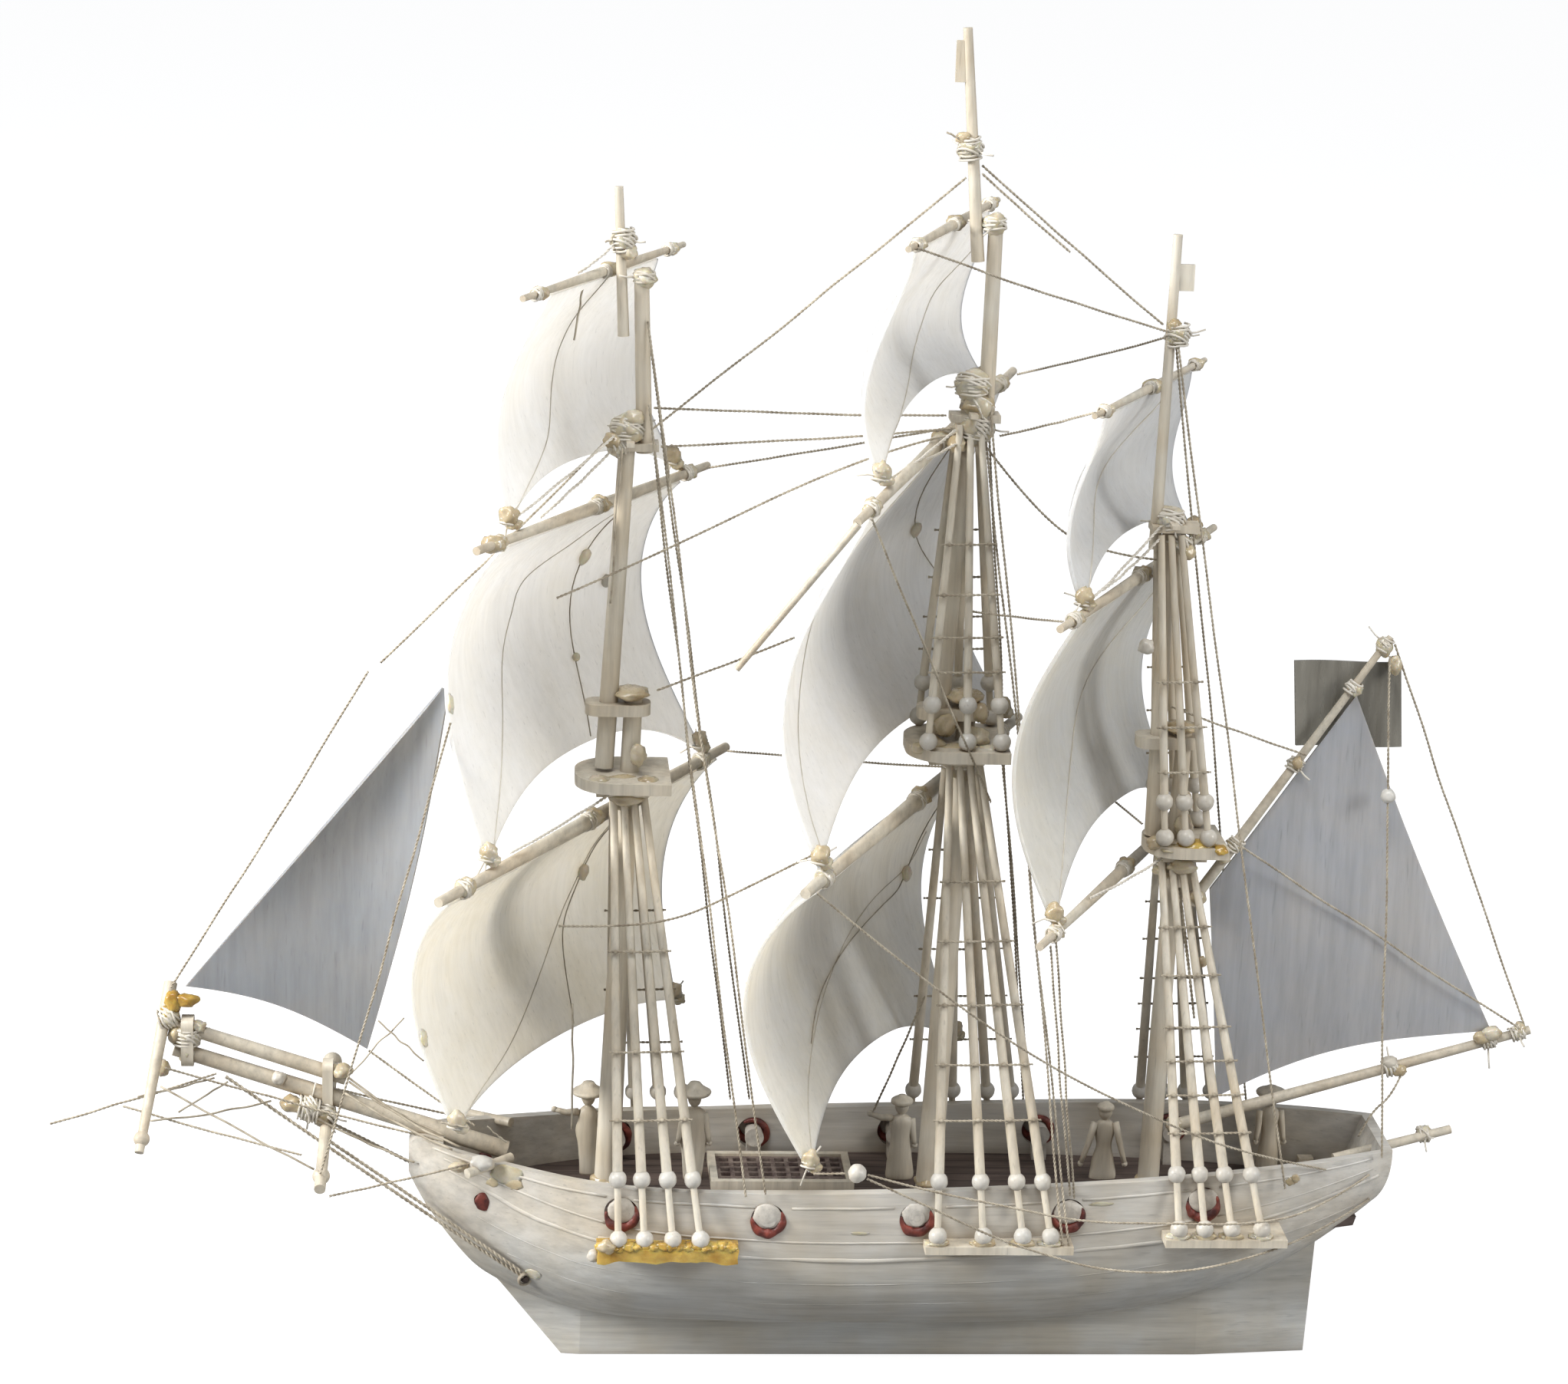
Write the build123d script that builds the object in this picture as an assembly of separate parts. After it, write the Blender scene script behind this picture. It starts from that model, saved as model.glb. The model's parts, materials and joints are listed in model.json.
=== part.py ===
from build123d import *
import math
import os

os.makedirs("parts", exist_ok=True)

# ---------------------------------------------------------------- dimensions (mm)
# Frame: origin under the middle of the keel, +X aft, +Y starboard, +Z up.
KEEL_FORE, KEEL_AFT, KEEL_HALF = -50.5, 51.2, 3.4
FIN_TOP = 17.5
# station x, half breadth at the deck, underside of the round body
STATIONS = [
    (-71.2, 1.6, 22.5), (-68.0, 4.4, 17.5), (-63.0, 7.4, 12.8), (-57.0, 10.0, 9.4),
    (-49.0, 13.2, 7.0), (-40.0, 15.3, 6.0), (-25.0, 16.3, 5.6), (0.0, 16.5, 5.6),
    (20.0, 15.8, 6.6), (34.0, 14.3, 9.2), (45.0, 12.2, 13.4), (53.5, 9.8, 18.8),
    (61.0, 7.0, 25.0),
]
BULWARK = 1.5
DECK_TOP, DECK_THICK = 22.0, 1.2
STEP_DEPTH = 2.5
PORT_X = (-43.2, -24.1, -4.6, 15.5, 33.6)
PORT_Z = (25.1, 24.9, 25.2, 25.6, 26.6)
PORT_BORE, PORT_RING = 1.55, 2.25
HAWSE_X, HAWSE_Z = -60.0, 24.0
# gun: muzzle diameter, length, muzzle bore, how far it stands out of the hull
GUN_DIA, GUN_LEN, GUN_BORE, GUN_OUT = 2.1, 4.7, 1.0, 0.6
GUN_TAPER, GUN_RISE = 0.5, 0.25
BED_HALF, BED_FRONT, BED_BACK = 1.0, 1.9, 0.6
THREAD = 0.35
SHROUD_DIA, BEAD_DIA, PIN_DIA = 1.35, 2.4, 0.9
SHEET_BEAD = (-13.4, -23.6, 34.4)
SAIL_THICK = 0.5
CLEAR = 0.05

# mast: foot x, head x, head z, diameters, top platform z, platform x
MASTS = {
    "fore": dict(
        foot=-44.9, head=-42.6, head_z=92.0, dia=3.5, top_z=79.6, top_x=-43.9, top_half=(6.2, 6.6),
    ),
    "main": dict(
        foot=-1.4, head=1.1, head_z=92.0, dia=3.6, top_z=84.6, top_x=-0.4, top_half=(6.6, 7.4),
    ),
    "mizzen": dict(
        foot=28.6, head=30.0, head_z=88.5, dia=3.0, top_z=71.4, top_x=30.6, top_half=(5.3, 5.6),
    ),
}
# upper spars: heel point, head point, diameters
TOPMASTS = {
    "fore": ((-46.3, 0.0, 81.6), (-44.1, 0.0, 127.0), 2.5, 2.1),
    "main": ((-2.7, 0.0, 86.6), (-0.4, 0.0, 131.5), 2.6, 2.1),
    "mizzen": ((26.6, 0.0, 73.2), (26.4, 0.0, 117.5), 2.3, 1.8),
}
TOPGALLANTS = {
    "fore": ((-42.0, 0.0, 123.5), (-42.9, 0.0, 147.0), 2.1, 1.9),
    "main": ((1.7, 0.0, 127.5), (1.9, 0.0, 154.5), 2.1, 1.9),
}
POLES = {
    "fore": ((-45.0, 0.0, 138.5), (-46.0, 0.0, 157.5), 1.5, 1.1),
    "main": ((-0.2, 0.0, 149.0), (-2.8, 0.0, 178.4), 1.7, 1.2),
    "mizzen": ((24.6, 0.0, 112.0), (25.3, 0.0, 153.0), 1.6, 1.2),
}
# yard: mast pivot x, forward offset, half length, height, brace angle, port end droop, dia
YARDS = {
    "fore_topgallant": (-44.0, 3.6, 25.5, 146.6, 25.0, 0.0, 1.3),
    "fore_topsail": (-44.0, 4.3, 31.0, 115.9, 30.0, 0.0, 1.7),
    "fore_course": (-44.0, 4.4, 38.0, 73.6, 31.0, 1.0, 2.1),
    "main_topgallant": (-0.2, 3.2, 24.0, 153.6, 20.0, 0.0, 1.3),
    "main_topsail": (-0.2, 4.0, 34.0, 125.2, 23.0, 3.8, 1.8),
    "main_course": (-0.2, 4.8, 40.5, 77.0, 26.0, 1.5, 2.2),
    "mizzen_topgallant": (27.0, 4.1, 23.0, 132.9, 27.0, 0.0, 1.2),
    "mizzen_topsail": (27.0, 4.2, 29.0, 107.8, 29.0, 1.0, 1.6),
    "mizzen_crossjack": (27.0, 4.0, 34.0, 67.9, 27.0, 1.0, 1.7),
}


# ---------------------------------------------------------------- helpers
def rod(start, end, dia, end_dia=None):
    """Round rod between two points, tapered when end_dia is given."""
    axis = Vector(*end) - Vector(*start)
    place = Plane(origin=start, z_dir=axis)
    up = (Align.CENTER, Align.CENTER, Align.MIN)
    if end_dia is None or abs(end_dia - dia) < 1e-6:
        return place * Cylinder(dia / 2, axis.length, align=up)
    return place * Cone(dia / 2, end_dia / 2, axis.length, align=up)


def ball(centre, dia):
    return Pos(*centre) * Sphere(dia / 2)


def block(x0, x1, y0, y1, z0, z1):
    size = (x1 - x0, y1 - y0, z1 - z0)
    return Pos((x0 + x1) / 2, (y0 + y1) / 2, (z0 + z1) / 2) * Box(*size)


def along(start, end, share):
    """Point at a share of the way from start to end."""
    return tuple(a + (b - a) * share for a, b in zip(start, end))


def at_height(start, end, z):
    return along(start, end, (z - start[2]) / (end[2] - start[2]))


def shifted(point, dx=0.0, dy=0.0, dz=0.0):
    return (point[0] + dx, point[1] + dy, point[2] + dz)


def mirrored(point):
    return (point[0], -point[1], point[2])


def joined(shapes):
    """Separate solids kept together as one node."""
    solids = []
    for shape in shapes:
        solids.extend(shape.solids())
    return Compound(children=solids)


def without(shapes, *tools):
    """Each solid of a node with the listed pieces cut away."""
    cutters = [solid for tool in tools for solid in tool.solids()]
    kept = []
    for solid in shapes.solids():
        box = solid.bounding_box()
        near = [c for c in cutters if boxes_meet(box, c.bounding_box())]
        left = solid.cut(*near) if near else solid
        kept.append(max(left.solids(), key=lambda s: s.volume))
    return Compound(children=kept)


def boxes_meet(a, b):
    apart_x = a.min.X > b.max.X or b.min.X > a.max.X
    apart_y = a.min.Y > b.max.Y or b.min.Y > a.max.Y
    apart_z = a.min.Z > b.max.Z or b.min.Z > a.max.Z
    return not (apart_x or apart_y or apart_z)


def slack(points, dia=THREAD):
    """Thread through points, straight runs joined by arcs."""
    corners = [Vector(*p) for p in points]
    radii = []
    for i in range(1, len(corners) - 1):
        first = corners[i] - corners[i - 1]
        second = corners[i + 1] - corners[i]
        turn = math.radians(first.get_angle(second))
        radii.append(0.45 * min(first.length, second.length) / math.tan(turn / 2))
    path = FilletPolyline(*corners, radius=radii)
    end = Plane(origin=corners[0], z_dir=path % 0)
    return sweep(end * Circle(dia / 2), path=path)


# ---------------------------------------------------------------- hull
def body_section(x, half, low):
    """Round hull section at one station, open bilge spline closed by a flat top."""
    depth = 30.0 - low
    side = [
        (half * 0.985, 36.0), (half, low + 0.9 * depth), (half * 1.005, low + 0.62 * depth),
        (half * 0.9, low + 0.28 * depth), (half * 0.62, low + 0.09 * depth),
    ]
    points = [(x, y, z) for y, z in side] + [(x, 0, low)] + [(x, -y, z) for y, z in reversed(side)]
    curve = Spline(*points)
    return make_face(Curve() + [curve, Line(points[-1], points[0])])


def well_section(x, half, bottom):
    inner = half - BULWARK
    corners = [(x, -inner, bottom), (x, inner, bottom), (x, inner, 36), (x, -inner, 36)]
    return make_face(Polyline(*corners, close=True))


def side_profile():
    """Outline from the side: raked stem, keel, fin, counter, transom and sheer."""
    sheer = [
        (60.4, 31.3), (48, 30.9), (30, 30.2), (10, 29.4), (-10, 28.7),
        (-30, 28.4), (-45, 28.6), (-58, 29.5), (-68.5, 30.6),
    ]
    bow = Spline((-68.5, 30.6), (-70.6, 30.2), (-71.6, 27.9), (-70.9, 25.0), (-68.7, 21.4))
    stem = Polyline(
        (-68.7, 21.4), (-62.7, 14.0), (-58.7, 9.8), (KEEL_FORE, 0), (KEEL_AFT, 0), (51.9, FIN_TOP),
    )
    counter = Spline((51.9, FIN_TOP), (55.6, 20.6), (58.4, 24.0), (59.9, 27.6), (60.4, 31.3))
    edges = Curve() + [bow, stem, counter, Spline(*sheer)]
    return Plane.XZ * make_face(edges)


# ---------------------------------------------------------------- hull and deck
outer = loft([body_section(*station) for station in STATIONS])
fin_plan = Polyline(
    (-72, 0), (-71, 1.2), (-60, 1.9), (-48, KEEL_HALF), (36, KEEL_HALF), (52, 1.9), (53, 0),
    (52, -1.9), (36, -KEEL_HALF), (-48, -KEEL_HALF), (-60, -1.9), (-71, -1.2), close=True,
)
fin = extrude(make_face(fin_plan), amount=24)
profile = extrude(side_profile(), amount=25, both=True)
solid_hull = (outer + fin) & profile
WELL_FLOOR = DECK_TOP - DECK_THICK
well = loft(
    [well_section(-66.6, 5.4, WELL_FLOOR)]
    + [well_section(x, half, WELL_FLOOR) for x, half, low in STATIONS[2:-1]]
    + [well_section(59.0, 7.9, WELL_FLOOR)]
)
transom = Polyline((53.6, 15), (59.3, 32), (75, 40), (75, 15), close=True)
well -= extrude(Plane.XZ * make_face(transom), amount=25, both=True)
hull = solid_hull - well
deck = well & block(-70, 65, -20, 20, WELL_FLOOR, DECK_TOP)


def side_of(x):
    """Half breadth of the hull at the deck, between stations."""
    for (x0, b0, _), (x1, b1, _) in zip(STATIONS, STATIONS[1:]):
        if x0 <= x <= x1:
            return b0 + (b1 - b0) * (x - x0) / (x1 - x0)
    return STATIONS[-1][1]


# gun ports: red rings let into the bulwark round each bore, with a gun behind
rings = []
guns = []
for side in (-1, 1):
    for x, z in zip(PORT_X, PORT_Z):
        y = side * side_of(x)
        inside = side * (side_of(x) - 4)
        outside = side * (side_of(x) + 3)
        collar = rod((x, inside, z), (x, outside, z), 2 * PORT_RING)
        bore = rod((x, inside, z), (x, outside, z), 2 * PORT_BORE)
        rings.append((hull & collar) - bore)
        hull -= collar
        rear = side_of(x) + GUN_OUT - GUN_LEN
        breech = (x, side * rear, z + GUN_RISE)
        muzzle = (x, side * (side_of(x) + GUN_OUT), z + GUN_RISE)
        barrel = rod(breech, muzzle, GUN_DIA + GUN_TAPER, GUN_DIA)
        barrel -= rod(along(breech, muzzle, 0.8), muzzle, GUN_BORE)
        y0, y1 = sorted((side * (rear + BED_BACK), side * (side_of(x) - BED_FRONT)))
        bed = block(x - BED_HALF, x + BED_HALF, y0, y1, DECK_TOP, z)
        guns.append(barrel + bed)
for side in (-1, 1):
    hawse = rod((HAWSE_X, side * 4, HAWSE_Z), (HAWSE_X - 3, side * 12, HAWSE_Z), 2.0)
    rings.append(hull & hawse)
    hull -= hawse
for side in (-1, 1):
    hull -= rod((-55.6, side * 5, 13.4), (-55.6, side * 12, 13.4), 1.0)


# ---------------------------------------------------------------- masts
def lower_mast(mast):
    foot = (mast["foot"], 0.0, WELL_FLOOR - STEP_DEPTH)
    return rod(foot, (mast["head"], 0.0, mast["head_z"]), mast["dia"], mast["dia"] * 0.68)


lower_masts = {name: lower_mast(mast) for name, mast in MASTS.items()}
topmasts = {name: rod(*spar) for name, spar in TOPMASTS.items()}
topgallants = {name: rod(*spar) for name, spar in TOPGALLANTS.items()}
poles = {name: rod(*spar) for name, spar in POLES.items()}
# carved pennant on the main pole and flag on the mizzen pole
poles["main"] += block(-4.1, -2.3, -0.35, 0.35, 171.6, 176.8)
poles["mizzen"] += block(25.3, 27.7, -0.3, 0.3, 145.8, 149.2)
for mast in MASTS.values():
    socket = (mast["foot"], 0.0, WELL_FLOOR - STEP_DEPTH)
    hole = rod(socket, (mast["head"], 0.0, mast["head_z"]), mast["dia"] + 2 * CLEAR)
    hull -= hole
    deck -= hole


def top_platform(name):
    """D-shaped top with the round side forward, holes for both spars."""
    mast = MASTS[name]
    fore_half, side_half = mast["top_half"]
    x, z = mast["top_x"], mast["top_z"]
    plate = Pos(x, 0, z + 0.75) * Box(2 * fore_half, 2 * side_half, 1.5)
    fore_edges = plate.edges().filter_by(Axis.Z).sort_by(Axis.X)[:2]
    plate = fillet(fore_edges, fore_half * 0.9)
    rim = Pos(x, 0, z - 0.6) * Box(2 * fore_half * 0.55, 2 * side_half * 0.5, 1.2)
    return plate + rim


def cap(name):
    """Oblong cap holding lower masthead and topmast side by side."""
    mast = MASTS[name]
    z = mast["head_z"] - 2.3
    fore = at_height(*TOPMASTS[name][:2], z)[0]
    aft = mast["head"]
    plate = Pos((fore + aft) / 2 - 0.4, 0, z) * Box(aft - fore + 5.2, 4.6, 1.5)
    return fillet(plate.edges().filter_by(Axis.Z), 1.8)


def crosstree(name):
    """Small cross of bone at the topmast head."""
    x, _, z = TOPMASTS[name][1]
    z -= 2.6
    trestle = Pos(x + 0.7, 0, z) * Box(6.4, 3.4, 1.0)
    bar = Pos(x + 0.2, 0, z + 0.75) * Box(1.0, 8.2, 0.5)
    return trestle + bar


for name in MASTS:
    topmasts[name] = without(topmasts[name], lower_masts[name])
for name in TOPGALLANTS:
    topgallants[name] = without(topgallants[name], topmasts[name])
    poles[name] = without(poles[name], topgallants[name], topmasts[name])
poles["mizzen"] = without(poles["mizzen"], topmasts["mizzen"])
spar_tools = [joined(group.values()) for group in (lower_masts, topmasts, topgallants, poles)]
tops = {name: without(top_platform(name), *spar_tools) for name in MASTS}
caps = without(joined(cap(name) for name in MASTS), *spar_tools)
crosstrees = without(joined(crosstree(name) for name in MASTS), *spar_tools)

# ---------------------------------------------------------------- deck fittings
HATCH = (-30.6, -11.2, 0.9, 12.0)
HATCH_TOP = DECK_TOP + 1.3
coaming = block(HATCH[0], HATCH[1], HATCH[2], HATCH[3], DECK_TOP, HATCH_TOP)
coaming -= block(HATCH[0] + 1, HATCH[1] - 1, HATCH[2] + 1, HATCH[3] - 1, DECK_TOP - 1, HATCH_TOP + 1)
grating = block(HATCH[0] + 1, HATCH[1] - 1, HATCH[2] + 1, HATCH[3] - 1, DECK_TOP, DECK_TOP + 0.9)
for i in range(9):
    for j in range(5):
        x = HATCH[0] + 2.1 + 1.9 * i
        y = HATCH[2] + 1.75 + 1.78 * j
        grating -= Pos(x + 0.1, y, DECK_TOP) * Box(1.3, 1.15, 6)
binnacle = block(50.6, 52.6, 5.8, 7.4, DECK_TOP, DECK_TOP + 3.0)


def cathead(side):
    return rod((-57.6, side * 6.3, 29.5), (-63.4, side * 10.9, 29.0), 1.3)


catheads = joined(cathead(side) for side in (-1, 1))
boomkin = rod((53.4, -2.6, 28.4), (69.8, 0.0, 31.7), 1.4, 1.2)

# ---------------------------------------------------------------- bowsprit
BOWSPRIT = ((-58.2, 0.0, 28.0), (-102.2, 0.0, 42.2))
JIBBOOM = ((-79.6, 0.0, 38.2), (-103.2, 0.0, 45.9))
bowsprit = rod(*BOWSPRIT, 2.5, 2.0)
jibboom = rod(*JIBBOOM, 2.0, 1.7)
for spar in (bowsprit, catheads, boomkin):
    for solid in spar.solids():
        hull -= solid


def bowsprit_chock(x, depth, width):
    low = at_height((BOWSPRIT[0][2], 0, BOWSPRIT[0][0]), (BOWSPRIT[1][2], 0, BOWSPRIT[1][0]), x)[0]
    high = at_height((JIBBOOM[0][2], 0, JIBBOOM[0][0]), (JIBBOOM[1][2], 0, JIBBOOM[1][0]), x)[0]
    plate = Pos(x, 0, (low + high) / 2) * Box(depth, width, high - low + 3.4)
    return fillet(plate.edges().filter_by(Axis.X), width * 0.35)


chocks = joined((bowsprit_chock(-100.4, 1.6, 3.4), bowsprit_chock(-82.0, 1.4, 3.0)))
chocks = without(chocks, bowsprit, jibboom)
SPRITSAIL = ((-82.4, -15.5, 28.6), (-81.9, 13.0, 35.6))
spritsail_yard = rod(*SPRITSAIL, 1.5, 1.7) + ball(SPRITSAIL[1], 2.6) + ball(along(*SPRITSAIL, 0.1), 2.3)
OUTER_YARD = ((-105.9, -11.6, 32.0), (-102.9, 3.6, 50.0))
outer_yard = rod(*OUTER_YARD, 1.2, 1.8) + ball(along(*OUTER_YARD, 0.08), 2.1)
spritsail_yard = without(spritsail_yard, bowsprit, jibboom, chocks)
outer_yard = without(outer_yard, bowsprit, jibboom, chocks)


# ---------------------------------------------------------------- channels, deadeyes, shrouds
CHANNELS = {
    "fore": (-46.2, -28.4, 19.2, 20.3, 21.7),
    "main": (-3.6, 15.9, 19.6, 21.4, 22.5),
    "mizzen": (28.2, 44.4, 18.7, 22.1, 23.2),
}
LOWER_EYES = {
    "fore": (-43.7, -40.3, -36.6, -33.0),
    "main": (-2.0, 4.0, 9.2, 12.9),
    "mizzen": (30.0, 33.4, 37.0, 41.0),
}
EYE_Z = {"fore": 30.4, "main": 30.6, "mizzen": 31.2}


def channel(name, side):
    x0, x1, out, z0, z1 = CHANNELS[name]
    y0, y1 = sorted((side * 8.0, side * out))
    return block(x0, x1, y0, y1, z0, z1) - solid_hull


channels = {name: joined(channel(name, side) for side in (-1, 1)) for name in CHANNELS}
deadeyes = []
lower_shrouds = []
shroud_lines = {}
for name, mast in MASTS.items():
    x0, x1, out, z0, z1 = CHANNELS[name]
    top_z = mast["top_z"] - 1.4
    foot, head = (mast["foot"], 0.0, WELL_FLOOR - STEP_DEPTH), (mast["head"], 0.0, mast["head_z"])
    mast_x = at_height(foot, head, top_z)[0]
    for side in (-1, 1):
        for i, x in enumerate(LOWER_EYES[name]):
            eye = (x, side * (out - 0.9), z1 + BEAD_DIA / 2)
            hitch = (mast_x - 1.95 + 1.3 * i, side * (mast["dia"] / 2 * 0.72 + 0.75), top_z)
            upper = at_height(eye, hitch, EYE_Z[name])
            deadeyes.append(ball(eye, BEAD_DIA))
            deadeyes.append(ball(upper, BEAD_DIA))
            lower_shrouds.append(rod(upper, hitch, SHROUD_DIA, 1.0))
            lower_shrouds.append(rod(eye, upper, PIN_DIA))
            shroud_lines[name, side, i] = (upper, hitch)

# topmast shrouds stand on the rims of the main and mizzen tops
TOP_EYES = {"main": (-4.6, 0.5, 5.0), "mizzen": (27.4, 30.2, 33.2)}
topmast_shrouds = []
for name, spots in TOP_EYES.items():
    mast = MASTS[name]
    rim_z = mast["top_z"] + 1.5
    head_x, _, head_z = TOPMASTS[name][1]
    for side in (-1, 1):
        for i, x in enumerate(spots):
            eye = (x, side * (mast["top_half"][1] - 1.2), rim_z + BEAD_DIA / 2)
            head = (head_x - 1.3 + 1.3 * i, side * 1.75, head_z - 3.3)
            upper = at_height(eye, head, rim_z + 6.0)
            deadeyes.append(ball(eye, BEAD_DIA))
            deadeyes.append(ball(upper, BEAD_DIA))
            topmast_shrouds.append(rod(upper, head, 1.15, 0.9))
            topmast_shrouds.append(rod(eye, upper, PIN_DIA))
            shroud_lines[name + " top", side, i] = (upper, head)

# ratlines: threads laid across the outside of each gang of shrouds
RATLINES = {
    "fore": (38.0, 46.5, 59.0), "main": (38.5, 45.5, 53.0, 61.0, 68.5),
    "mizzen": (36.5, 41.2, 45.4, 49.6, 56.0, 62.0),
    "main top": (96.5, 101.0, 106.5, 113.0), "mizzen top": (83.0, 89.0, 95.0),
}
ratlines = []
for name, heights in RATLINES.items():
    last = 3 if name in MASTS else 2
    for side in (-1, 1):
        for z in heights:
            first_rod, last_rod = shroud_lines[name, side, 0], shroud_lines[name, side, last]
            start = at_height(*first_rod, z)
            end = at_height(*last_rod, z + 0.2)
            out = side * (SHROUD_DIA / 2 + THREAD / 2 + 0.08)
            ratlines.append(rod(shifted(start, -1.0, out), shifted(end, 1.0, out), THREAD))

spar_cutters = [*spar_tools, *tops.values(), caps, crosstrees]
deadeyes = joined(deadeyes)
lower_shrouds = without(joined(lower_shrouds), deadeyes, *spar_cutters)
topmast_shrouds = without(joined(topmast_shrouds), deadeyes, *spar_cutters)


# ---------------------------------------------------------------- crew
def sailor(x, y, height, hat_width, hat_tall):
    """Crude carved doll: tapered body, ball head and a brimmed hat."""
    z = DECK_TOP
    hip = z + height * 0.42
    legs = Pos(x, y, z + height * 0.21) * Box(1.9, 1.7, height * 0.42)
    body = Pos(x, y, hip + height * 0.15) * Box(2.6, 1.9, height * 0.32)
    neck = rod((x, y, hip + height * 0.3), (x, y, z + height * 0.84), 1.1)
    head = ball((x, y, z + height * 0.82), 1.9)
    brim = rod((x, y, z + height * 0.9), (x, y, z + height * 0.94), hat_width)
    crown = rod((x, y, z + height * 0.9), (x, y, z + height * 0.9 + hat_tall), hat_width * 0.62)
    return legs + body + neck + head + brim + crown


CREW = {
    "bow": (-47.2, 6.8, 12.8, 3.1, 1.4), "foredeck": (-32.9, 5.0, 13.6, 2.9, 1.4),
    "waist": (-4.6, 5.8, 12.2, 2.6, 0.9), "quarter": (23.4, 6.0, 11.3, 2.3, 0.8),
    "stern": (46.6, 8.0, 13.0, 3.4, 1.0),
}
crew = {name: sailor(*doll) for name, doll in CREW.items()}
ARMS = {
    "bow": [((-1.4, -0.2, 9.0), (-4.6, -0.8, 9.6)), ((1.4, 0.0, 9.0), (2.0, 0.0, 5.2))],
    "foredeck": [((-1.4, 0.0, 9.6), (-2.2, -0.6, 5.4)), ((1.4, 0.0, 9.6), (2.1, -0.4, 5.4))],
    "waist": [((-1.4, -0.2, 8.8), (-4.4, -0.8, 9.6)), ((1.4, 0.0, 8.6), (1.9, -0.2, 4.8))],
    "quarter": [((-1.4, -0.2, 8.2), (-3.2, -0.8, 2.4)), ((1.4, -0.2, 8.2), (2.9, -0.8, 2.4))],
    "stern": [((-1.4, 0.0, 9.2), (-1.9, -0.4, 4.8)), ((1.4, 0.0, 9.2), (2.0, -0.4, 4.8))],
}
arms = []
for name, limbs in ARMS.items():
    x, y = CREW[name][:2]
    for shoulder, hand in limbs:
        limb = rod(shifted(shoulder, x, y, DECK_TOP), shifted(hand, x, y, DECK_TOP), 0.85, 0.6)
        arms.append(without(limb, crew[name]))

# ---------------------------------------------------------------- yards and square sails
def yard_frame(name, s, forward=0.0, up=0.0):
    """Point on a yard: s along it (starboard positive), then forward and up."""
    pivot, offset, half, z, brace, droop, _ = YARDS[name]
    turn = math.radians(brace)
    off = offset + forward
    x = pivot + s * math.sin(turn) - off * math.cos(turn)
    y = s * math.cos(turn) + off * math.sin(turn)
    return (x, y, z + up + droop * s / half)


def yard(name):
    """Spar tapering from the middle to both arms."""
    half, dia = YARDS[name][2], YARDS[name][6]
    middle = yard_frame(name, 0)
    arms_out = [rod(middle, yard_frame(name, side * half), dia, dia * 0.62) for side in (-1, 1)]
    return arms_out[0] + arms_out[1]


# sail: yard above, spar below, half head, half foot, clew height, foot arch,
# leech bulge, belly, height of the fullest part (above 1 is lower), then how far the
# foot is shifted forward and to starboard
SAILS = {
    "fore_topgallant": ("fore_topsail", 17.0, 22.5, 117.2, 4.6, 4.0, 7.0, 1.05, 1.0, 1.0),
    "fore_topsail": ("fore_course", 23.2, 28.6, 75.0, 7.6, 7.4, 11.0, 0.80, 0.0, 2.4),
    "fore_course": ("fore_course", 35.5, 29.5, 39.4, 2.6, 5.6, 10.0, 0.80, 2.2, 0.0),
    "main_topgallant": ("main_topsail", 19.5, 23.0, 126.8, 5.0, 3.6, 7.0, 1.45, 0.6, 0.0),
    "main_topsail": ("main_course", 28.0, 35.5, 78.6, 8.0, 7.8, 11.0, 1.12, 0.0, 0.0),
    "main_course": ("main_course", 36.5, 28.0, 34.0, 7.0, 9.3, 12.0, 0.85, 2.6, 0.0),
    "mizzen_topgallant": ("mizzen_topsail", 17.5, 21.0, 108.8, 5.0, 3.0, 6.0, 1.35, 0.0, 0.0),
    "mizzen_topsail": ("mizzen_crossjack", 21.5, 27.2, 68.6, 7.6, 7.0, 6.8, 1.0, 0.4, 0.0),
}
GRID = 8


def sail_point(name, u, v):
    lower, head, foot, clew_z, arch, leech, belly, peak, shift, drift = SAILS[name]
    upper = YARDS[name]
    below = YARDS[lower]
    s = u * (head + (foot - head) * v) + drift * v
    full = math.sin(math.pi * v ** peak)
    bulge = (leech + (belly - leech) * (1 - u * u)) * full + 0.3 * belly * (1 - u * u) * v ** 4
    offset = upper[1] + (below[1] + shift - upper[1]) * v + bulge
    turn = math.radians(upper[4] + (below[4] - upper[4]) * v)
    top = upper[3] - upper[6] * 0.5 - 0.15 + upper[5] * s / upper[2]
    bottom = clew_z + arch * (1 - abs(u) ** 2.6)
    if lower != name:
        bottom += below[5] * s / below[2]
    z = top + (bottom - top) * v
    x = upper[0] + s * math.sin(turn) - offset * math.cos(turn)
    y = s * math.cos(turn) + offset * math.sin(turn)
    return (x, y, z)


def curved_plate(grid_point, thick=SAIL_THICK, count=GRID):
    """Thin plate through a grid of points, thickened both ways from the middle."""
    steps = [i / count for i in range(count + 1)]
    points = [[Vector(*grid_point(a, b)) for b in steps] for a in steps]
    face = Face.make_surface_from_array_of_points(points, tol=0.02, smoothing=None, min_deg=3, max_deg=5)
    return Solid.thicken(face, thick)


yards = {name: yard(name) for name in YARDS}
sails = {name: curved_plate(lambda a, b, n=name: sail_point(n, 2 * a - 1, b)) for name in SAILS}
for name, sail in sails.items():
    sails[name] = without(sail, yards[name], yards[SAILS[name][0]])

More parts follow.
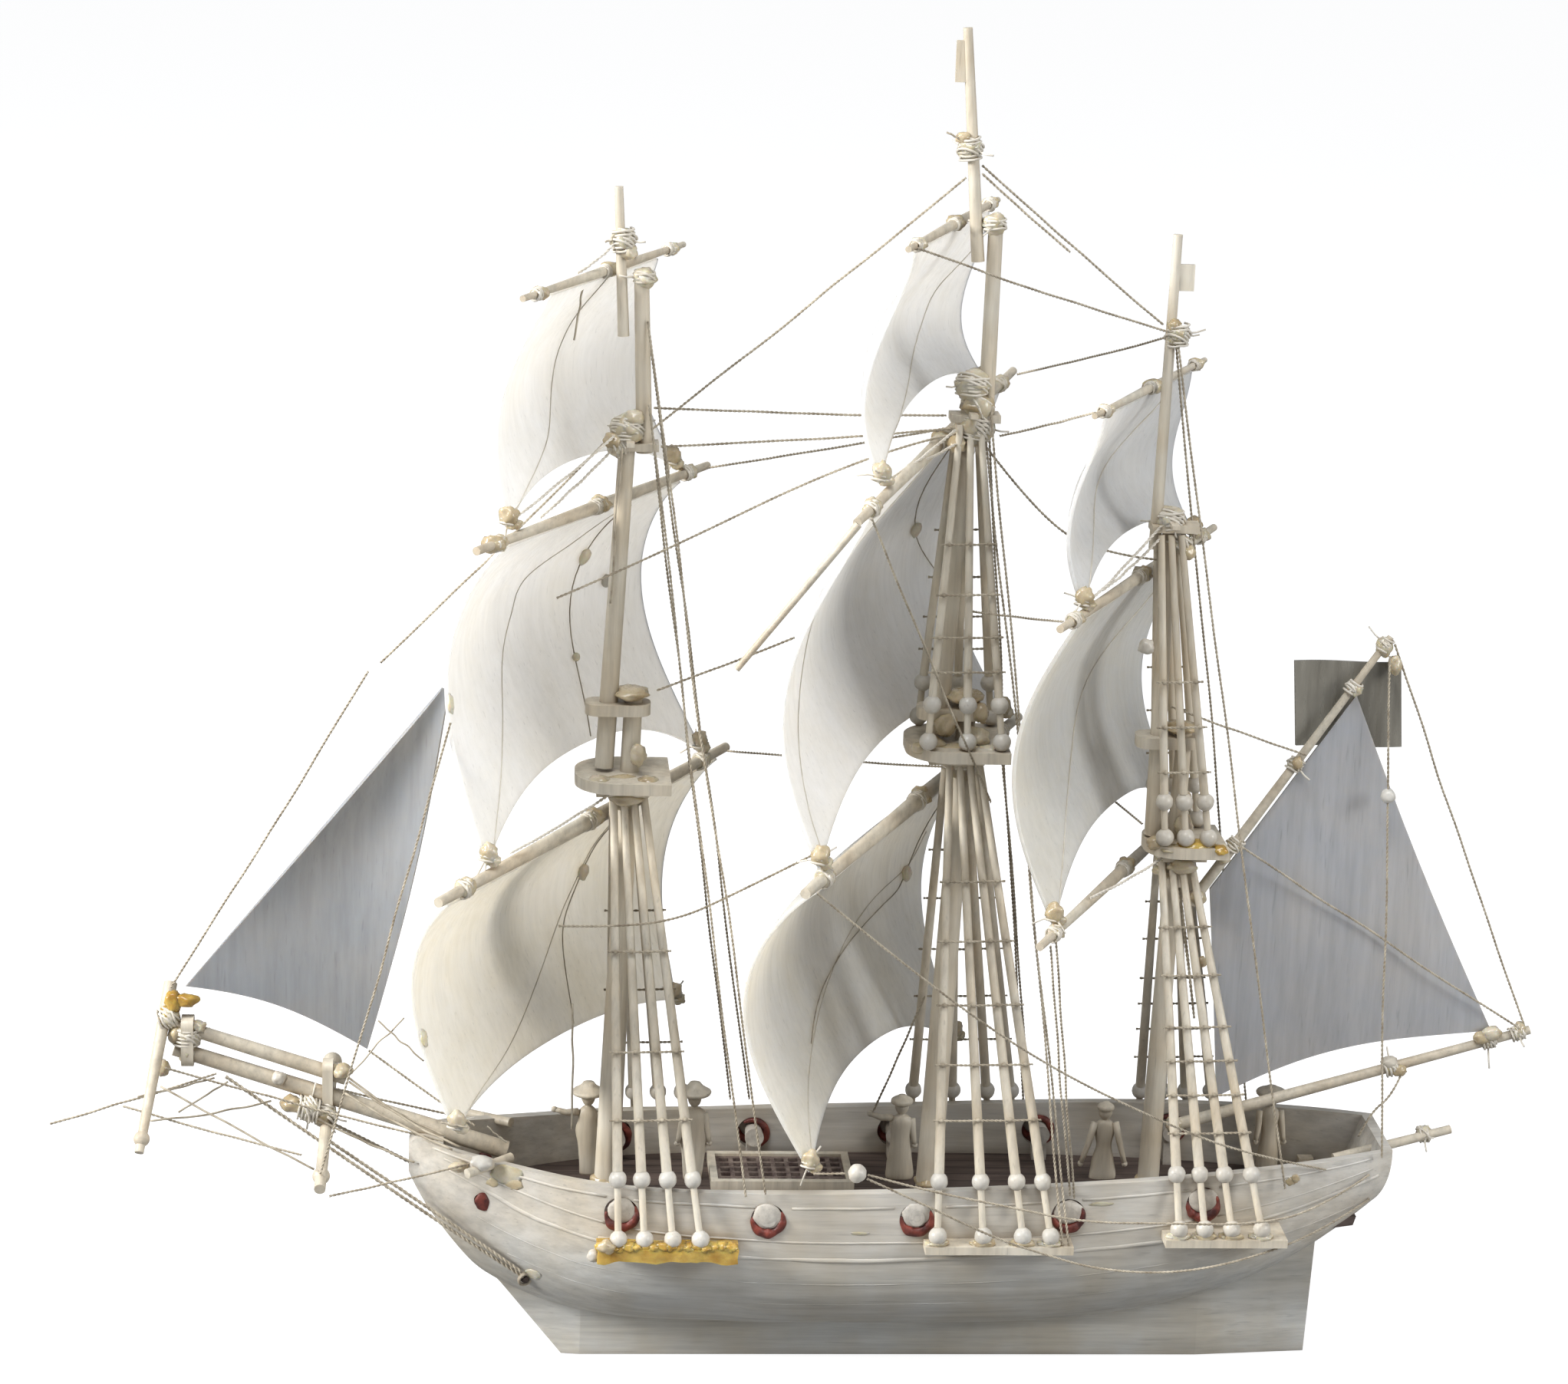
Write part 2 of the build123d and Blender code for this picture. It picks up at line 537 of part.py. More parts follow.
# ---------------------------------------------------------------- spanker, ensign and jib
BOOM = ((30.9, 0.0, 31.8), (79.6, 0.0, 46.1))
GAFF = ((32.2, 0.0, 63.6), (56.6, 0.0, 100.6))
LUFF_TOP, LUFF_LOW = (34.7, 65.6), (37.4, 36.2)
PEAK, CLEW = (52.6, 92.6), (74.3, 46.0)
spanker_boom = rod(*BOOM, 1.7, 1.2)
gaff = rod(*GAFF, 1.5, 0.9)


def spanker_point(a, b):
    """a from luff to leech, b from gaff to foot."""
    top_x = LUFF_TOP[0] + (PEAK[0] - LUFF_TOP[0]) * a
    top_z = LUFF_TOP[1] + (PEAK[1] - LUFF_TOP[1]) * a
    low_x = LUFF_LOW[0] + (CLEW[0] - LUFF_LOW[0]) * a
    low_z = LUFF_LOW[1] + (CLEW[1] - LUFF_LOW[1]) * a + 3.4 * math.sin(math.pi * a) * (1 - 0.5 * a)
    x = top_x + (low_x - top_x) * b - 0.6 * a * math.sin(math.pi * b)
    z = top_z + (low_z - top_z) * b
    return (x, -1.3 * math.sin(math.pi * a) * math.sin(math.pi * b), z)


spanker = without(curved_plate(spanker_point), gaff)
ENSIGN = (44.4, 58.6, 85.2, 96.8)
ENSIGN_Y = 1.5


def ensign_point(a, b):
    x = ENSIGN[0] + (ENSIGN[1] - ENSIGN[0]) * a
    z = ENSIGN[3] + (ENSIGN[2] - ENSIGN[3]) * b
    return (x + 0.9 * b, ENSIGN_Y + 0.35 * math.sin(2 * math.pi * a), z)


ensign = curved_plate(ensign_point, 0.4)
JIB_HEAD, JIB_TACK, JIB_CLEW = (-67.0, 92.0), (-100.6, 51.0), (-76.8, 42.4)


def jib_point(a, b):
    """a from head to tack and clew line, b from luff to leech."""
    low_x = JIB_TACK[0] + (JIB_CLEW[0] - JIB_TACK[0]) * b
    low_z = JIB_TACK[1] + (JIB_CLEW[1] - JIB_TACK[1]) * b + 1.8 * math.sin(math.pi * b)
    head_x = JIB_HEAD[0] - 0.5 + 1.0 * b
    head_z = JIB_HEAD[1] - 0.4 * b
    x = head_x + (low_x - head_x) * a
    z = head_z + (low_z - head_z) * a
    sway = 1.0 * b * math.sin(math.pi * a)
    return (x + sway, 1.6 * math.sin(math.pi * b) * math.sin(math.pi * min(1, a * 1.1)), z)


jib = curved_plate(jib_point)
studdingsail_boom = rod((-17.2, -31.6, 121.6), (-31.4, -31.4, 103.2), 1.0, 0.8)

# ---------------------------------------------------------------- threads
forestays = joined((
    rod((-46.9, 0.0, 124.9), (-75.4, 0.0, 95.2), THREAD * 1.5),
    rod((-74.4, 0.0, 96.3), (-76.9, 0.0, 94.6), 1.2),
    rod((-77.0, 0.0, 94.0), (-102.6, 0.0, 50.6), THREAD),
    rod((-103.2, -2.4, 40.3), (-66.6, -5.0, 31.2), THREAD),
    rod((-101.4, 2.5, 40.7), (-66.0, 4.9, 31.2), THREAD),
    rod((-76.6, 0.0, 42.0), (-62.4, -3.0, 32.6), THREAD),
))
bobstays = joined((
    slack([(-95.4, -0.5, 38.4), (-64.0, -8.4, 18.8), (-55.8, -9.4, 13.8)], THREAD * 1.5),
    slack([(-82.6, -2.2, 30.7), (-64.4, -8.6, 20.4), (-56.2, -9.9, 14.8)], THREAD * 1.5),
    slack([(-82.4, 1.5, 31.6), (-64.0, 8.4, 19.2), (-55.8, 9.4, 13.8)], THREAD * 1.5),
))
crosslines = joined((
    rod((-41.0, 0.0, 126.6), (-2.2, 0.0, 159.6), THREAD),
    rod((-40.9, 0.5, 129.2), (-3.3, 0.7, 128.9), THREAD),
    rod((-39.9, -0.6, 124.4), (-2.0, -0.6, 127.5), THREAD),
    rod((-0.2, 0.0, 161.2), (24.0, 0.0, 141.4), THREAD),
    slack([(1.0, 0.4, 126.2), (8.8, 0.4, 116.4), (16.8, 0.4, 111.2), (25.0, 0.4, 110.4)]),
    rod((-2.6, 2.2, 49.4), (-8.6, 4.8, 32.0), THREAD),
    slack([(30.2, -2.0, 66.4), (31.3, -3.4, 60.0), (32.6, -5.6, 49.4)]),
))
backstays = []
for side in (-1, 1):
    backstays.append(rod((-42.0, side * 1.1, 140.6), (-24.6, side * 17.3, 28.9), THREAD))
    backstays.append(rod((-41.6, side * 1.3, 130.0), (-27.2, side * 17.7, 28.7), THREAD))
    backstays.append(rod((1.8, side * 1.3, 133.0), (14.5, side * 19.0, 22.6), THREAD))
    backstays.append(rod((1.6, side * 1.4, 127.0), (15.3, side * 19.0, 22.6), THREAD))
    backstays.append(rod((25.9, side * 0.9, 139.4), (44.6, side * 13.9, 28.6), THREAD))
backstays = joined(backstays)

groups = {
    "fore_braces": [
        rod(yard_frame("fore_topsail", 29.8, -0.9), (-1.9, 0.5, 127.6), THREAD),
        rod(yard_frame("fore_course", 36.4, -1.1), (-1.1, 0.4, 82.0), THREAD),
        slack([(-53.0, -8.0, 106.1), (-43.3, -4.2, 109.5), (-13.1, -2.2, 124.7), (-1.8, -1.1, 127.0)]),
        slack([
            (-52.0, -9.5, 62.8), (-44.8, -9.2, 62.6), (-36.5, -8.4, 63.4), (-28.7, -4.2, 65.8),
            (-18.4, -2.6, 70.8),
        ]),
        rod((-66.2, -16.3, 91.8), (-82.4, -13.9, 30.1), THREAD),
    ],
    "main_braces": [
        rod(yard_frame("main_topgallant", -22.6, -0.8), (24.4, -0.6, 140.6), THREAD),
        rod(yard_frame("main_topsail", 32.6, -1.0), (24.5, 0.7, 139.6), THREAD),
        rod(yard_frame("main_course", 38.6, -1.3), (25.2, 0.6, 74.4), THREAD),
        rod(yard_frame("main_topsail", -32.0, -1.2), (4.2, -4.2, 78.6), THREAD),
        rod((-18.9, -22.6, 33.9), along((-18.9, -22.6, 33.9), SHEET_BEAD, 0.72), THREAD),
        ball(SHEET_BEAD, BEAD_DIA),
    ],
    "mizzen_braces": [
        rod((3.6, -0.5, 126.6), yard_frame("mizzen_topgallant", -20.6, 0.8), THREAD),
        rod((0.8, -1.5, 103.6), yard_frame("mizzen_topsail", -25.4, 1.0), THREAD),
        rod(yard_frame("mizzen_crossjack", -33.0, -1.1), (15.5, -16.6, 28.6), THREAD),
        rod(yard_frame("mizzen_crossjack", -31.2, -1.2), (16.1, -16.55, 28.2), THREAD),
    ],
    "spanker_lines": [
        rod((56.4, -1.0, 98.2), (58.4, -9.3, 31.2), THREAD),
        ball((57.0, -3.3, 79.8), 2.0),
        rod((36.3, -3.0, 73.6), (78.0, -0.9, 46.6), THREAD),
        rod((27.8, -1.1, 91.0), (46.2, -1.0, 84.6), THREAD),
        slack([(62.4, -0.8, 40.2), (61.0, -1.6, 37.0), (58.4, -1.2, 34.6), (57.0, -1.0, 31.0)]),
    ],
    # long slack threads from the main yard's port side back to the stern
    "main_course_brace": [
        slack([
            yard_frame("main_course", -39.5, -1.4), (-6.5, -31.5, 63.0), (10.0, -26.5, 50.2),
            (27.5, -20.2, 39.8), (38.7, -16.8, 34.5), (50.5, -11.2, 30.2),
        ]),
    ],
    "main_sheet_upper": [
        slack([
            (-12.0, -23.6, 34.2), (-4.9, -23.2, 32.0), (6.3, -21.9, 29.2), (16.7, -21.0, 26.6),
            (27.8, -20.7, 26.4), (38.6, -20.2, 26.0), (48.5, -15.0, 25.6), (57.0, -8.9, 28.6),
        ]),
    ],
    "main_sheet_lower": [
        slack([
            (-12.1, -24.0, 33.8), (-4.9, -23.9, 30.4), (4.7, -22.4, 25.1), (12.2, -21.8, 22.3),
            (18.8, -21.4, 20.2), (28.2, -21.0, 19.4), (37.6, -20.2, 20.7), (49.6, -14.6, 22.6),
            (57.4, -8.2, 24.8),
        ]),
    ],
}
threads = {name: joined(group) for name, group in groups.items()}
spanker_halyard = rod((57.2, 0.0, 99.6), (78.7, 0.0, 47.0), THREAD * 1.4)
loose_ends = joined((
    rod((-108.5, -5.0, 35.9), (-84.9, -12.6, 32.2), THREAD),
    rod((-81.2, -14.4, 27.2), (-62.6, -8.6, 29.6), THREAD),
    rod((-39.6, 0.0, 92.0), (-22.0, -1.0, 99.6), THREAD),
    rod((-0.2, -0.4, 160.2), (11.4, -1.0, 150.6), THREAD),
    rod((-118.2, -3.0, 32.6), (-96.6, -1.5, 39.2), THREAD),
))

nodes = {
    "hull": hull, "deck": deck, "gunport_rings": joined(rings), "cannons": joined(guns),
    "hatch_coaming": coaming, "hatch_grating": grating, "binnacle": binnacle,
    "catheads": catheads, "boomkin": boomkin, "bowsprit": bowsprit, "jibboom": jibboom,
    "bowsprit_chocks": chocks, "spritsail_yard": spritsail_yard, "outer_sprit_yard": outer_yard,
    "channels": joined(channels.values()), "deadeyes": deadeyes,
    "lower_shrouds": lower_shrouds, "topmast_shrouds": topmast_shrouds,
    "ratlines": joined(ratlines), "crew": joined([*crew.values(), *arms]),
    "mast_tops": joined(tops.values()), "mast_caps": joined([caps, crosstrees]),
    "topmasts": joined(topmasts.values()),
    "topgallant_masts": joined(topgallants.values()), "pole_masts": joined(poles.values()),
    "jib": jib, "spanker": spanker, "spanker_boom": spanker_boom, "gaff": gaff,
    "spanker_halyard": spanker_halyard, "ensign": ensign, "studdingsail_boom": studdingsail_boom,
    "headstays": joined([forestays, bobstays]), "crosslines": joined([crosslines, loose_ends]),
    "backstays": backstays, **threads,
}
nodes["lower_masts"] = joined(lower_masts.values())
for name, spar in yards.items():
    nodes[name if name.endswith("crossjack") else name + "_yard"] = spar
for name, sail in sails.items():
    nodes[name + "_sail"] = sail
for name, shape in nodes.items():
    export_step(shape, f"parts/{name}.step")
print(len(nodes), "nodes")
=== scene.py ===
import json
import math

import bmesh
import bpy
from mathutils import Matrix, Vector, noise
from mathutils.bvhtree import BVHTree
from mathutils.geometry import intersect_line_line


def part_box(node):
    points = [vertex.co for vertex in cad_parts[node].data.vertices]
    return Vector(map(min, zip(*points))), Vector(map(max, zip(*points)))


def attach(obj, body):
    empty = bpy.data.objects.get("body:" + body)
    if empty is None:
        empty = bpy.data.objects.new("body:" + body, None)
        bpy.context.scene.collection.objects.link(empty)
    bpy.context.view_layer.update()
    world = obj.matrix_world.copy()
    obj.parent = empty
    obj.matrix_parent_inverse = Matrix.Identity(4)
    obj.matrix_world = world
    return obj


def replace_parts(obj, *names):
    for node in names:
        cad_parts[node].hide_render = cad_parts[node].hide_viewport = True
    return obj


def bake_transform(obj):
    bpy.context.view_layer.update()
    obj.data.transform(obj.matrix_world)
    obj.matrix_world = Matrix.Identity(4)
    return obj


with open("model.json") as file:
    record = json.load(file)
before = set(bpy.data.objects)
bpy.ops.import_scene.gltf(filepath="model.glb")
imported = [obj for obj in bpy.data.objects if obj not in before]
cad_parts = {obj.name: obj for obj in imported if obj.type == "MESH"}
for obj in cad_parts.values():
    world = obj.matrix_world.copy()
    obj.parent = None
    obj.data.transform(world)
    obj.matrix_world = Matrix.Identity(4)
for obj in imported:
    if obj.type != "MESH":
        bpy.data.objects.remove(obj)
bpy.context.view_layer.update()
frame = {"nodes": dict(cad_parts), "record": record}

MM = 0.001
NODES = frame["nodes"]
BODY_OF = {n: b for b, names in frame["record"]["behaviour"]["bodies"].items() for n in names}
scene = bpy.context.scene
scene.view_settings.view_transform = "Standard"
# without this, noise_vector takes its offsets from the clock
noise.seed_set(11)


def mm(x, y, z):
    """A place or a way given in millimetres."""
    return Vector((x, y, z)) * MM


# ---------------------------------------------------------------- camera, light and stage
# the viewpoint: place in millimetres, then turn, lift and roll in degrees
CAMERA_PLACE = (-62.459, -500.733, 226.588)
CAMERA_TURNS = (-4.5, 15, 1.9375)
LENS = 91.59
FLOOR_TONE = (0.30, 0.30, 0.30, 1)
FLOOR_GLOW = 0.90
AMBIENT = (0.22, 0.23, 0.25)
# name, place, aim, size, power, tint
LAMPS = (
    ("key", (-0.78, -0.20, 0.42), (-0.02, 0, 0.09), 0.30, 9.6, (1, 0.985, 0.96)),
    ("top", (-0.20, -0.35, 0.90), (0, 0, 0.02), 0.4, 4.6, (0.97, 0.98, 1)),
    ("aft", (0.45, -0.30, 0.30), (-0.03, 0, 0.12), 0.25, 1.6, (1, 0.99, 0.97)),
)


def make_camera():
    """Seen from the port side, a little ahead and above."""
    turn, lift, roll = [math.radians(angle) for angle in CAMERA_TURNS]
    back = Vector((math.sin(turn) * math.cos(lift), -math.cos(turn) * math.cos(lift), math.sin(lift)))
    right = Vector((math.cos(turn), math.sin(turn), 0.0))
    up = back.cross(right)
    tilted_right = right * math.cos(roll) + up * math.sin(roll)
    tilted_up = up * math.cos(roll) - right * math.sin(roll)
    data = bpy.data.cameras.new("camera")
    data.lens = LENS
    data.sensor_width = 36.0
    data.clip_start = 0.01
    data.clip_end = 20.0
    camera = bpy.data.objects.new("camera", data)
    aimed = Matrix((tilted_right, tilted_up, back)).transposed().to_4x4()
    camera.matrix_world = Matrix.Translation(mm(*CAMERA_PLACE)) @ aimed
    scene.collection.objects.link(camera)
    scene.camera = camera


def make_light(name, place, aim, size, power, tint):
    """Round area lamp turned to its aim, in metres."""
    data = bpy.data.lights.new(name, "AREA")
    data.shape = "DISK"
    data.size = size
    data.energy = power
    data.color = tint
    lamp = bpy.data.objects.new(name, data)
    lamp.location = place
    lamp.rotation_mode = "QUATERNION"
    lamp.rotation_quaternion = (Vector(aim) - Vector(place)).to_track_quat("-Z", "Y")
    scene.collection.objects.link(lamp)


def make_stage():
    """Plain pale floor and an even pale surround that light the ship only a little."""
    bpy.ops.mesh.primitive_plane_add(size=12.0, location=(0, 0, -0.0002))
    floor = bpy.context.object
    floor.name = "floor"
    material, tree, shader = new_material("floor_pale")
    dial(shader, Base_Color=FLOOR_TONE, Roughness=1, Specular_IOR_Level=0, Emission_Color=(1, 1, 1, 1))
    seen = tree.nodes.new("ShaderNodeLightPath")
    glow = math_node(tree, "MULTIPLY", seen.outputs["Is Camera Ray"], FLOOR_GLOW)
    tree.links.new(glow, shader.inputs["Emission Strength"])
    floor.data.materials.append(material)
    world = bpy.data.worlds.new("world")
    scene.world = world
    world.use_nodes = True
    tree = world.node_tree
    seen = tree.nodes.new("ShaderNodeLightPath")
    tone = mixed(tree, seen.outputs["Is Camera Ray"], AMBIENT, (1.0, 1.0, 1.0))
    tree.links.new(tone, tree.nodes["Background"].inputs["Color"])
    for lamp in LAMPS:
        make_light(*lamp)


# ---------------------------------------------------------------- materials
def new_material(name):
    """A material, its node tree and its shader."""
    material = bpy.data.materials.new(name)
    material.use_nodes = True
    tree = material.node_tree
    return material, tree, tree.nodes["Principled BSDF"]


def dial(node, **settings):
    """Set plain inputs of a shader node."""
    for key, setting in settings.items():
        node.inputs[key.replace("_", " ")].default_value = setting
    return node


def add_bump(tree, shader, height, strength, depth):
    """Relief from a pattern, its depth in millimetres."""
    bump = dial(tree.nodes.new("ShaderNodeBump"), Strength=strength, Distance=depth * MM)
    tree.links.new(height, bump.inputs["Height"])
    tree.links.new(bump.outputs[0], shader.inputs["Normal"])


def object_axis(tree, axis):
    """One of the piece's own coordinates."""
    place = tree.nodes.new("ShaderNodeTexCoord")
    split = tree.nodes.new("ShaderNodeSeparateXYZ")
    tree.links.new(place.outputs["Object"], split.inputs[0])
    return split.outputs[axis]


def math_node(tree, operation, first, second=None):
    """Sum of one or two numbers or sockets."""
    node = tree.nodes.new("ShaderNodeMath")
    node.operation = operation
    for slot, item in enumerate((first, second)):
        if item is None:
            continue
        if isinstance(item, (int, float)):
            node.inputs[slot].default_value = item
        else:
            tree.links.new(item, node.inputs[slot])
    return node.outputs[0]


def ramp(tree, source, stops):
    """Colour ramp from (place, colour) stops, colours as three numbers or a grey."""
    node = tree.nodes.new("ShaderNodeValToRGB")
    tree.links.new(source, node.inputs[0])
    elements = node.color_ramp.elements
    while len(elements) < len(stops):
        elements.new(0.5)
    for element, (place, colour) in zip(elements, stops):
        element.position = place
        if isinstance(colour, (int, float)):
            colour = (colour, colour, colour)
        element.color = (*colour, 1)
    return node.outputs[0]


def mixed(tree, share, first, second, blend="MIX"):
    """Two colours or sockets blended by a share."""
    node = tree.nodes.new("ShaderNodeMix")
    node.data_type = "RGBA"
    node.blend_type = blend
    for slot, item in ((0, share), (6, first), (7, second)):
        if isinstance(item, (int, float)):
            node.inputs[slot].default_value = item
        elif isinstance(item, tuple):
            node.inputs[slot].default_value = (*item, 1)
        else:
            tree.links.new(item, node.inputs[slot])
    return node.outputs[2]


def grain(tree, stretch, scale, detail, rough=0.55):
    """Noise drawn out along the axes where stretch is small."""
    place = tree.nodes.new("ShaderNodeTexCoord")
    mapping = dial(tree.nodes.new("ShaderNodeMapping"), Scale=stretch)
    tree.links.new(place.outputs["Object"], mapping.inputs["Vector"])
    texture = dial(tree.nodes.new("ShaderNodeTexNoise"), Scale=scale, Detail=detail, Roughness=rough)
    tree.links.new(mapping.outputs[0], texture.inputs["Vector"])
    return texture.outputs["Fac"]


RAIL_HEIGHT = 32


def painted_hull_light_shade(tree, colour, painted_low_shade):
    """Painted light and shade by height on the hull: greyer, cooler low down as if in shade, a painted shadow
    darkest at the bilge, a lighter fin below it, creamy above the wale as if lit from above.
    """
    height = math_node(tree, "MULTIPLY", object_axis(tree, "Z"), 1 / (RAIL_HEIGHT * MM))
    share = ramp(tree, height, [(0.50, 1.0), (0.70, 0.0)])
    colour = mixed(tree, share, colour, painted_low_shade, "MULTIPLY")
    # painted shadow at the bilge, with the fin below it lightened as if lit
    bilge_shade_fin_light = ramp(tree, height, [(0.12, 1.38), (0.25, 0.95), (0.38, 0.80), (0.58, 1.0)])
    return mixed(tree, 1.0, colour, bilge_shade_fin_light, "MULTIPLY")


def bone(name, pale, warm, crease_shade_colour, along=(1, 1, 1), streak=0.35, rough=0.42, relief=0.25, crease_shade_strength=0.55, crevice=1.6,
         glow=0.10, depth=0.8, bleed=(1.0, 0.75, 0.5), painted_low_shade=None):
    """Scraped bone: pale ground, warm cloudy patches, fine grain drawn out along
    one way, pores, and brown painted shade where surfaces meet, found by ambient
    occlusion; given a low tone, painted light and shade by height as well."""
    material, tree, shader = new_material(name)
    clouds = grain(tree, (1, 1, 1), 90, 3.0)
    lines = grain(tree, along, 900, 5.0, 0.62)
    pores = grain(tree, along, 2600, 2.0, 0.5)
    colour = mixed(tree, ramp(tree, clouds, [(0.36, 0.0), (0.68, 1.0)]), pale, warm)
    dark = ramp(tree, lines, [(0.30, 1.0 - streak), (0.62, 1.0)])
    colour = mixed(tree, 1.0, colour, dark, "MULTIPLY")
    spots = ramp(tree, pores, [(0.26, 0.72), (0.36, 1.0)])
    colour = mixed(tree, 0.6, colour, spots, "MULTIPLY")
    # painted light and shade by height, on the hull only
    if painted_low_shade:
        colour = painted_hull_light_shade(tree, colour, painted_low_shade)
    # painted shade: brown mixed in where ambient occlusion finds nearby surfaces, in creases and where parts meet
    hollow = dial(tree.nodes.new("ShaderNodeAmbientOcclusion"), Distance=crevice * MM)
    hollow.samples = 6
    crease_shade = ramp(tree, hollow.outputs["AO"], [(0.25, crease_shade_strength), (0.85, 0.0)])
    colour = mixed(tree, crease_shade, colour, crease_shade_colour)
    tree.links.new(colour, shader.inputs["Base Color"])
    tree.links.new(ramp(tree, lines, [(0.3, rough + 0.16), (0.7, rough - 0.06)]), shader.inputs["Roughness"])
    add_bump(tree, shader, lines, relief, 0.12)
    dial(shader, Subsurface_Weight=glow, Subsurface_Radius=bleed, Subsurface_Scale=depth * MM, IOR=1.5)
    return material


# ---------------------------------------------------------------- geometry helpers
def add_piece(name, vertices, faces, material, body, slot):
    """A mesh piece that rides on a body."""
    mesh = bpy.data.meshes.new(name)
    mesh.from_pydata([tuple(v) for v in vertices], [], faces)
    mesh.materials.append(material)
    mesh.shade_smooth()
    mesh.update()
    piece = bpy.data.objects.new(name, mesh)
    scene.collection.objects.link(piece)
    if body:
        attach(piece, body)
    return piece


class Shape:
    """Vertices and faces gathered for one piece."""

    def __init__(self):
        self.vertices = []
        self.faces = []

    def add(self, vertices, faces):
        start = len(self.vertices)
        self.vertices.extend(vertices)
        self.faces.extend([tuple(start + i for i in face) for face in faces])

    def piece(self, name, material, body, slot):
        return add_piece(name, self.vertices, self.faces, material, body, slot)


def islands(node):
    """Corner points of each separate solid of a CAD node, ordered along X."""
    work = bmesh.new()
    work.from_mesh(NODES[node].data)
    bmesh.ops.remove_doubles(work, verts=work.verts, dist=0.002 * MM)
    found = []
    seen = set()
    for first in work.verts:
        if first in seen:
            continue
        group = []
        edge = [first]
        seen.add(first)
        while edge:
            vertex = edge.pop()
            group.append(vertex.co.copy())
            for link in vertex.link_edges:
                other = link.other_vert(vertex)
                if other not in seen:
                    seen.add(other)
                    edge.append(other)
        found.append(group)
    work.free()
    return sorted(found, key=lambda g: (round(sum(p.x for p in g) / len(g), 6), g[0].y))


def middle(points):
    """Average of some points."""
    return sum(points, Vector()) / len(points)


def span(points):
    """Size of the box round some points."""
    return Vector([max(p[i] for p in points) - min(p[i] for p in points) for i in range(3)])


END_SLICE = 0.06 * MM
# steps in each turn of a twisted thread, in each turn of a winding, and along a sagging line
PER_TURN = 8
COIL_STEPS = 14
SAG_STEPS = 24


def ends(points):
    """Both ends of a straight rod, and how far it strays from the line between them."""
    centre = middle(points)
    far = max(points, key=lambda p: (p - centre).length)
    axis = (far - centre).normalized()
    reach = [(p - centre).dot(axis) for p in points]
    first = middle([p for p, r in zip(points, reach) if r < min(reach) + END_SLICE])
    last = middle([p for p, r in zip(points, reach) if r > max(reach) - END_SLICE])
    line = (last - first).normalized()
    stray = max(((p - first) - line * (p - first).dot(line)).length for p in points)
    return first, last, stray


def frames(points):
    """Two directions square to the path at each point, without twist."""
    tangents = []
    for i in range(len(points)):
        a = points[max(0, i - 1)]
        b = points[min(len(points) - 1, i + 1)]
        tangents.append((b - a).normalized())
    side = tangents[0].orthogonal().normalized()
    result = []
    for tangent in tangents:
        side = (side - tangent * side.dot(tangent)).normalized()
        result.append((side, tangent.cross(side)))
    return result


def skin(vertices, sides):
    """Faces over rows of vertices, closed at both ends."""
    faces = []
    for i in range(len(vertices) // sides - 1):
        for k in range(sides):
            a, b = i * sides + k, i * sides + (k + 1) % sides
            faces.append((a, b, b + sides, a + sides))
    faces.append(tuple(range(sides - 1, -1, -1)))
    faces.append(tuple(range(len(vertices) - sides, len(vertices))))
    return faces


def tube(points, radius, sides=8):
    """Round tube along points; radius is a number or one for each point."""
    radii = radius if isinstance(radius, list) else [radius] * len(points)
    vertices = []
    for point, size, (side, up) in zip(points, radii, frames(points)):
        for k in range(sides):
            angle = 2 * math.pi * k / sides
            vertices.append(point + side * (math.cos(angle) * size) + up * (math.sin(angle) * size))
    return vertices, skin(vertices, sides)


def resampled(points, step):
    """Points a step apart along a line of points."""
    result = [points[0]]
    carry = 0.0
    for a, b in zip(points, points[1:]):
        length = (b - a).length
        at = step - carry
        while at < length:
            result.append(a.lerp(b, at / length))
            at += step
        carry = length - (at - step)
    result.append(points[-1])
    return result


def ply(points, dia, pitch=3.4, sides=6):
    """Two-ply twisted thread along points. Pitch is in diameters."""
    step = dia * pitch / PER_TURN
    line = resampled(points, step)
    axes = frames(line)
    shape = Shape()
    for strand in (0, 1):
        centres = []
        for i, (point, (side, up)) in enumerate(zip(line, axes)):
            angle = 2 * math.pi * i / PER_TURN + math.pi * strand
            centres.append(point + (side * math.cos(angle) + up * math.sin(angle)) * dia * 0.235)
        shape.add(*tube(centres, dia * 0.265, sides))
    return shape.vertices, shape.faces


def spline(points):
    """Points along a smooth NURBS line, its route given in millimetres."""
    data = bpy.data.curves.new("route", "CURVE")
    data.dimensions = "3D"
    run = data.splines.new("NURBS")
    run.points.add(len(points) - 1)
    for knot_point, place in zip(run.points, points):
        knot_point.co = (*mm(*place), 1)
    run.order_u = 3
    run.use_endpoint_u = True
    run.resolution_u = 14
    holder = bpy.data.objects.new("route", data)
    scene.collection.objects.link(holder)
    bpy.context.view_layer.update()
    mesh = bpy.data.meshes.new_from_object(holder)
    line = [v.co.copy() for v in mesh.vertices]
    bpy.data.objects.remove(holder)
    bpy.data.meshes.remove(mesh)
    bpy.data.curves.remove(data)
    return line


def sagged(first, last, sag, wander):
    """Line between two points that hangs a little and is never quite straight."""
    seed = Vector((first.x * 900, last.z * 700, first.y * 500))
    line = []
    for i in range(SAG_STEPS + 1):
        share = i / SAG_STEPS
        hang = math.sin(math.pi * share)
        point = first.lerp(last, share)
        point.z -= sag * hang
        drift = noise.noise_vector(seed + Vector((share * 5, 0, 0)))
        line.append(point + drift * wander * hang)
    return line


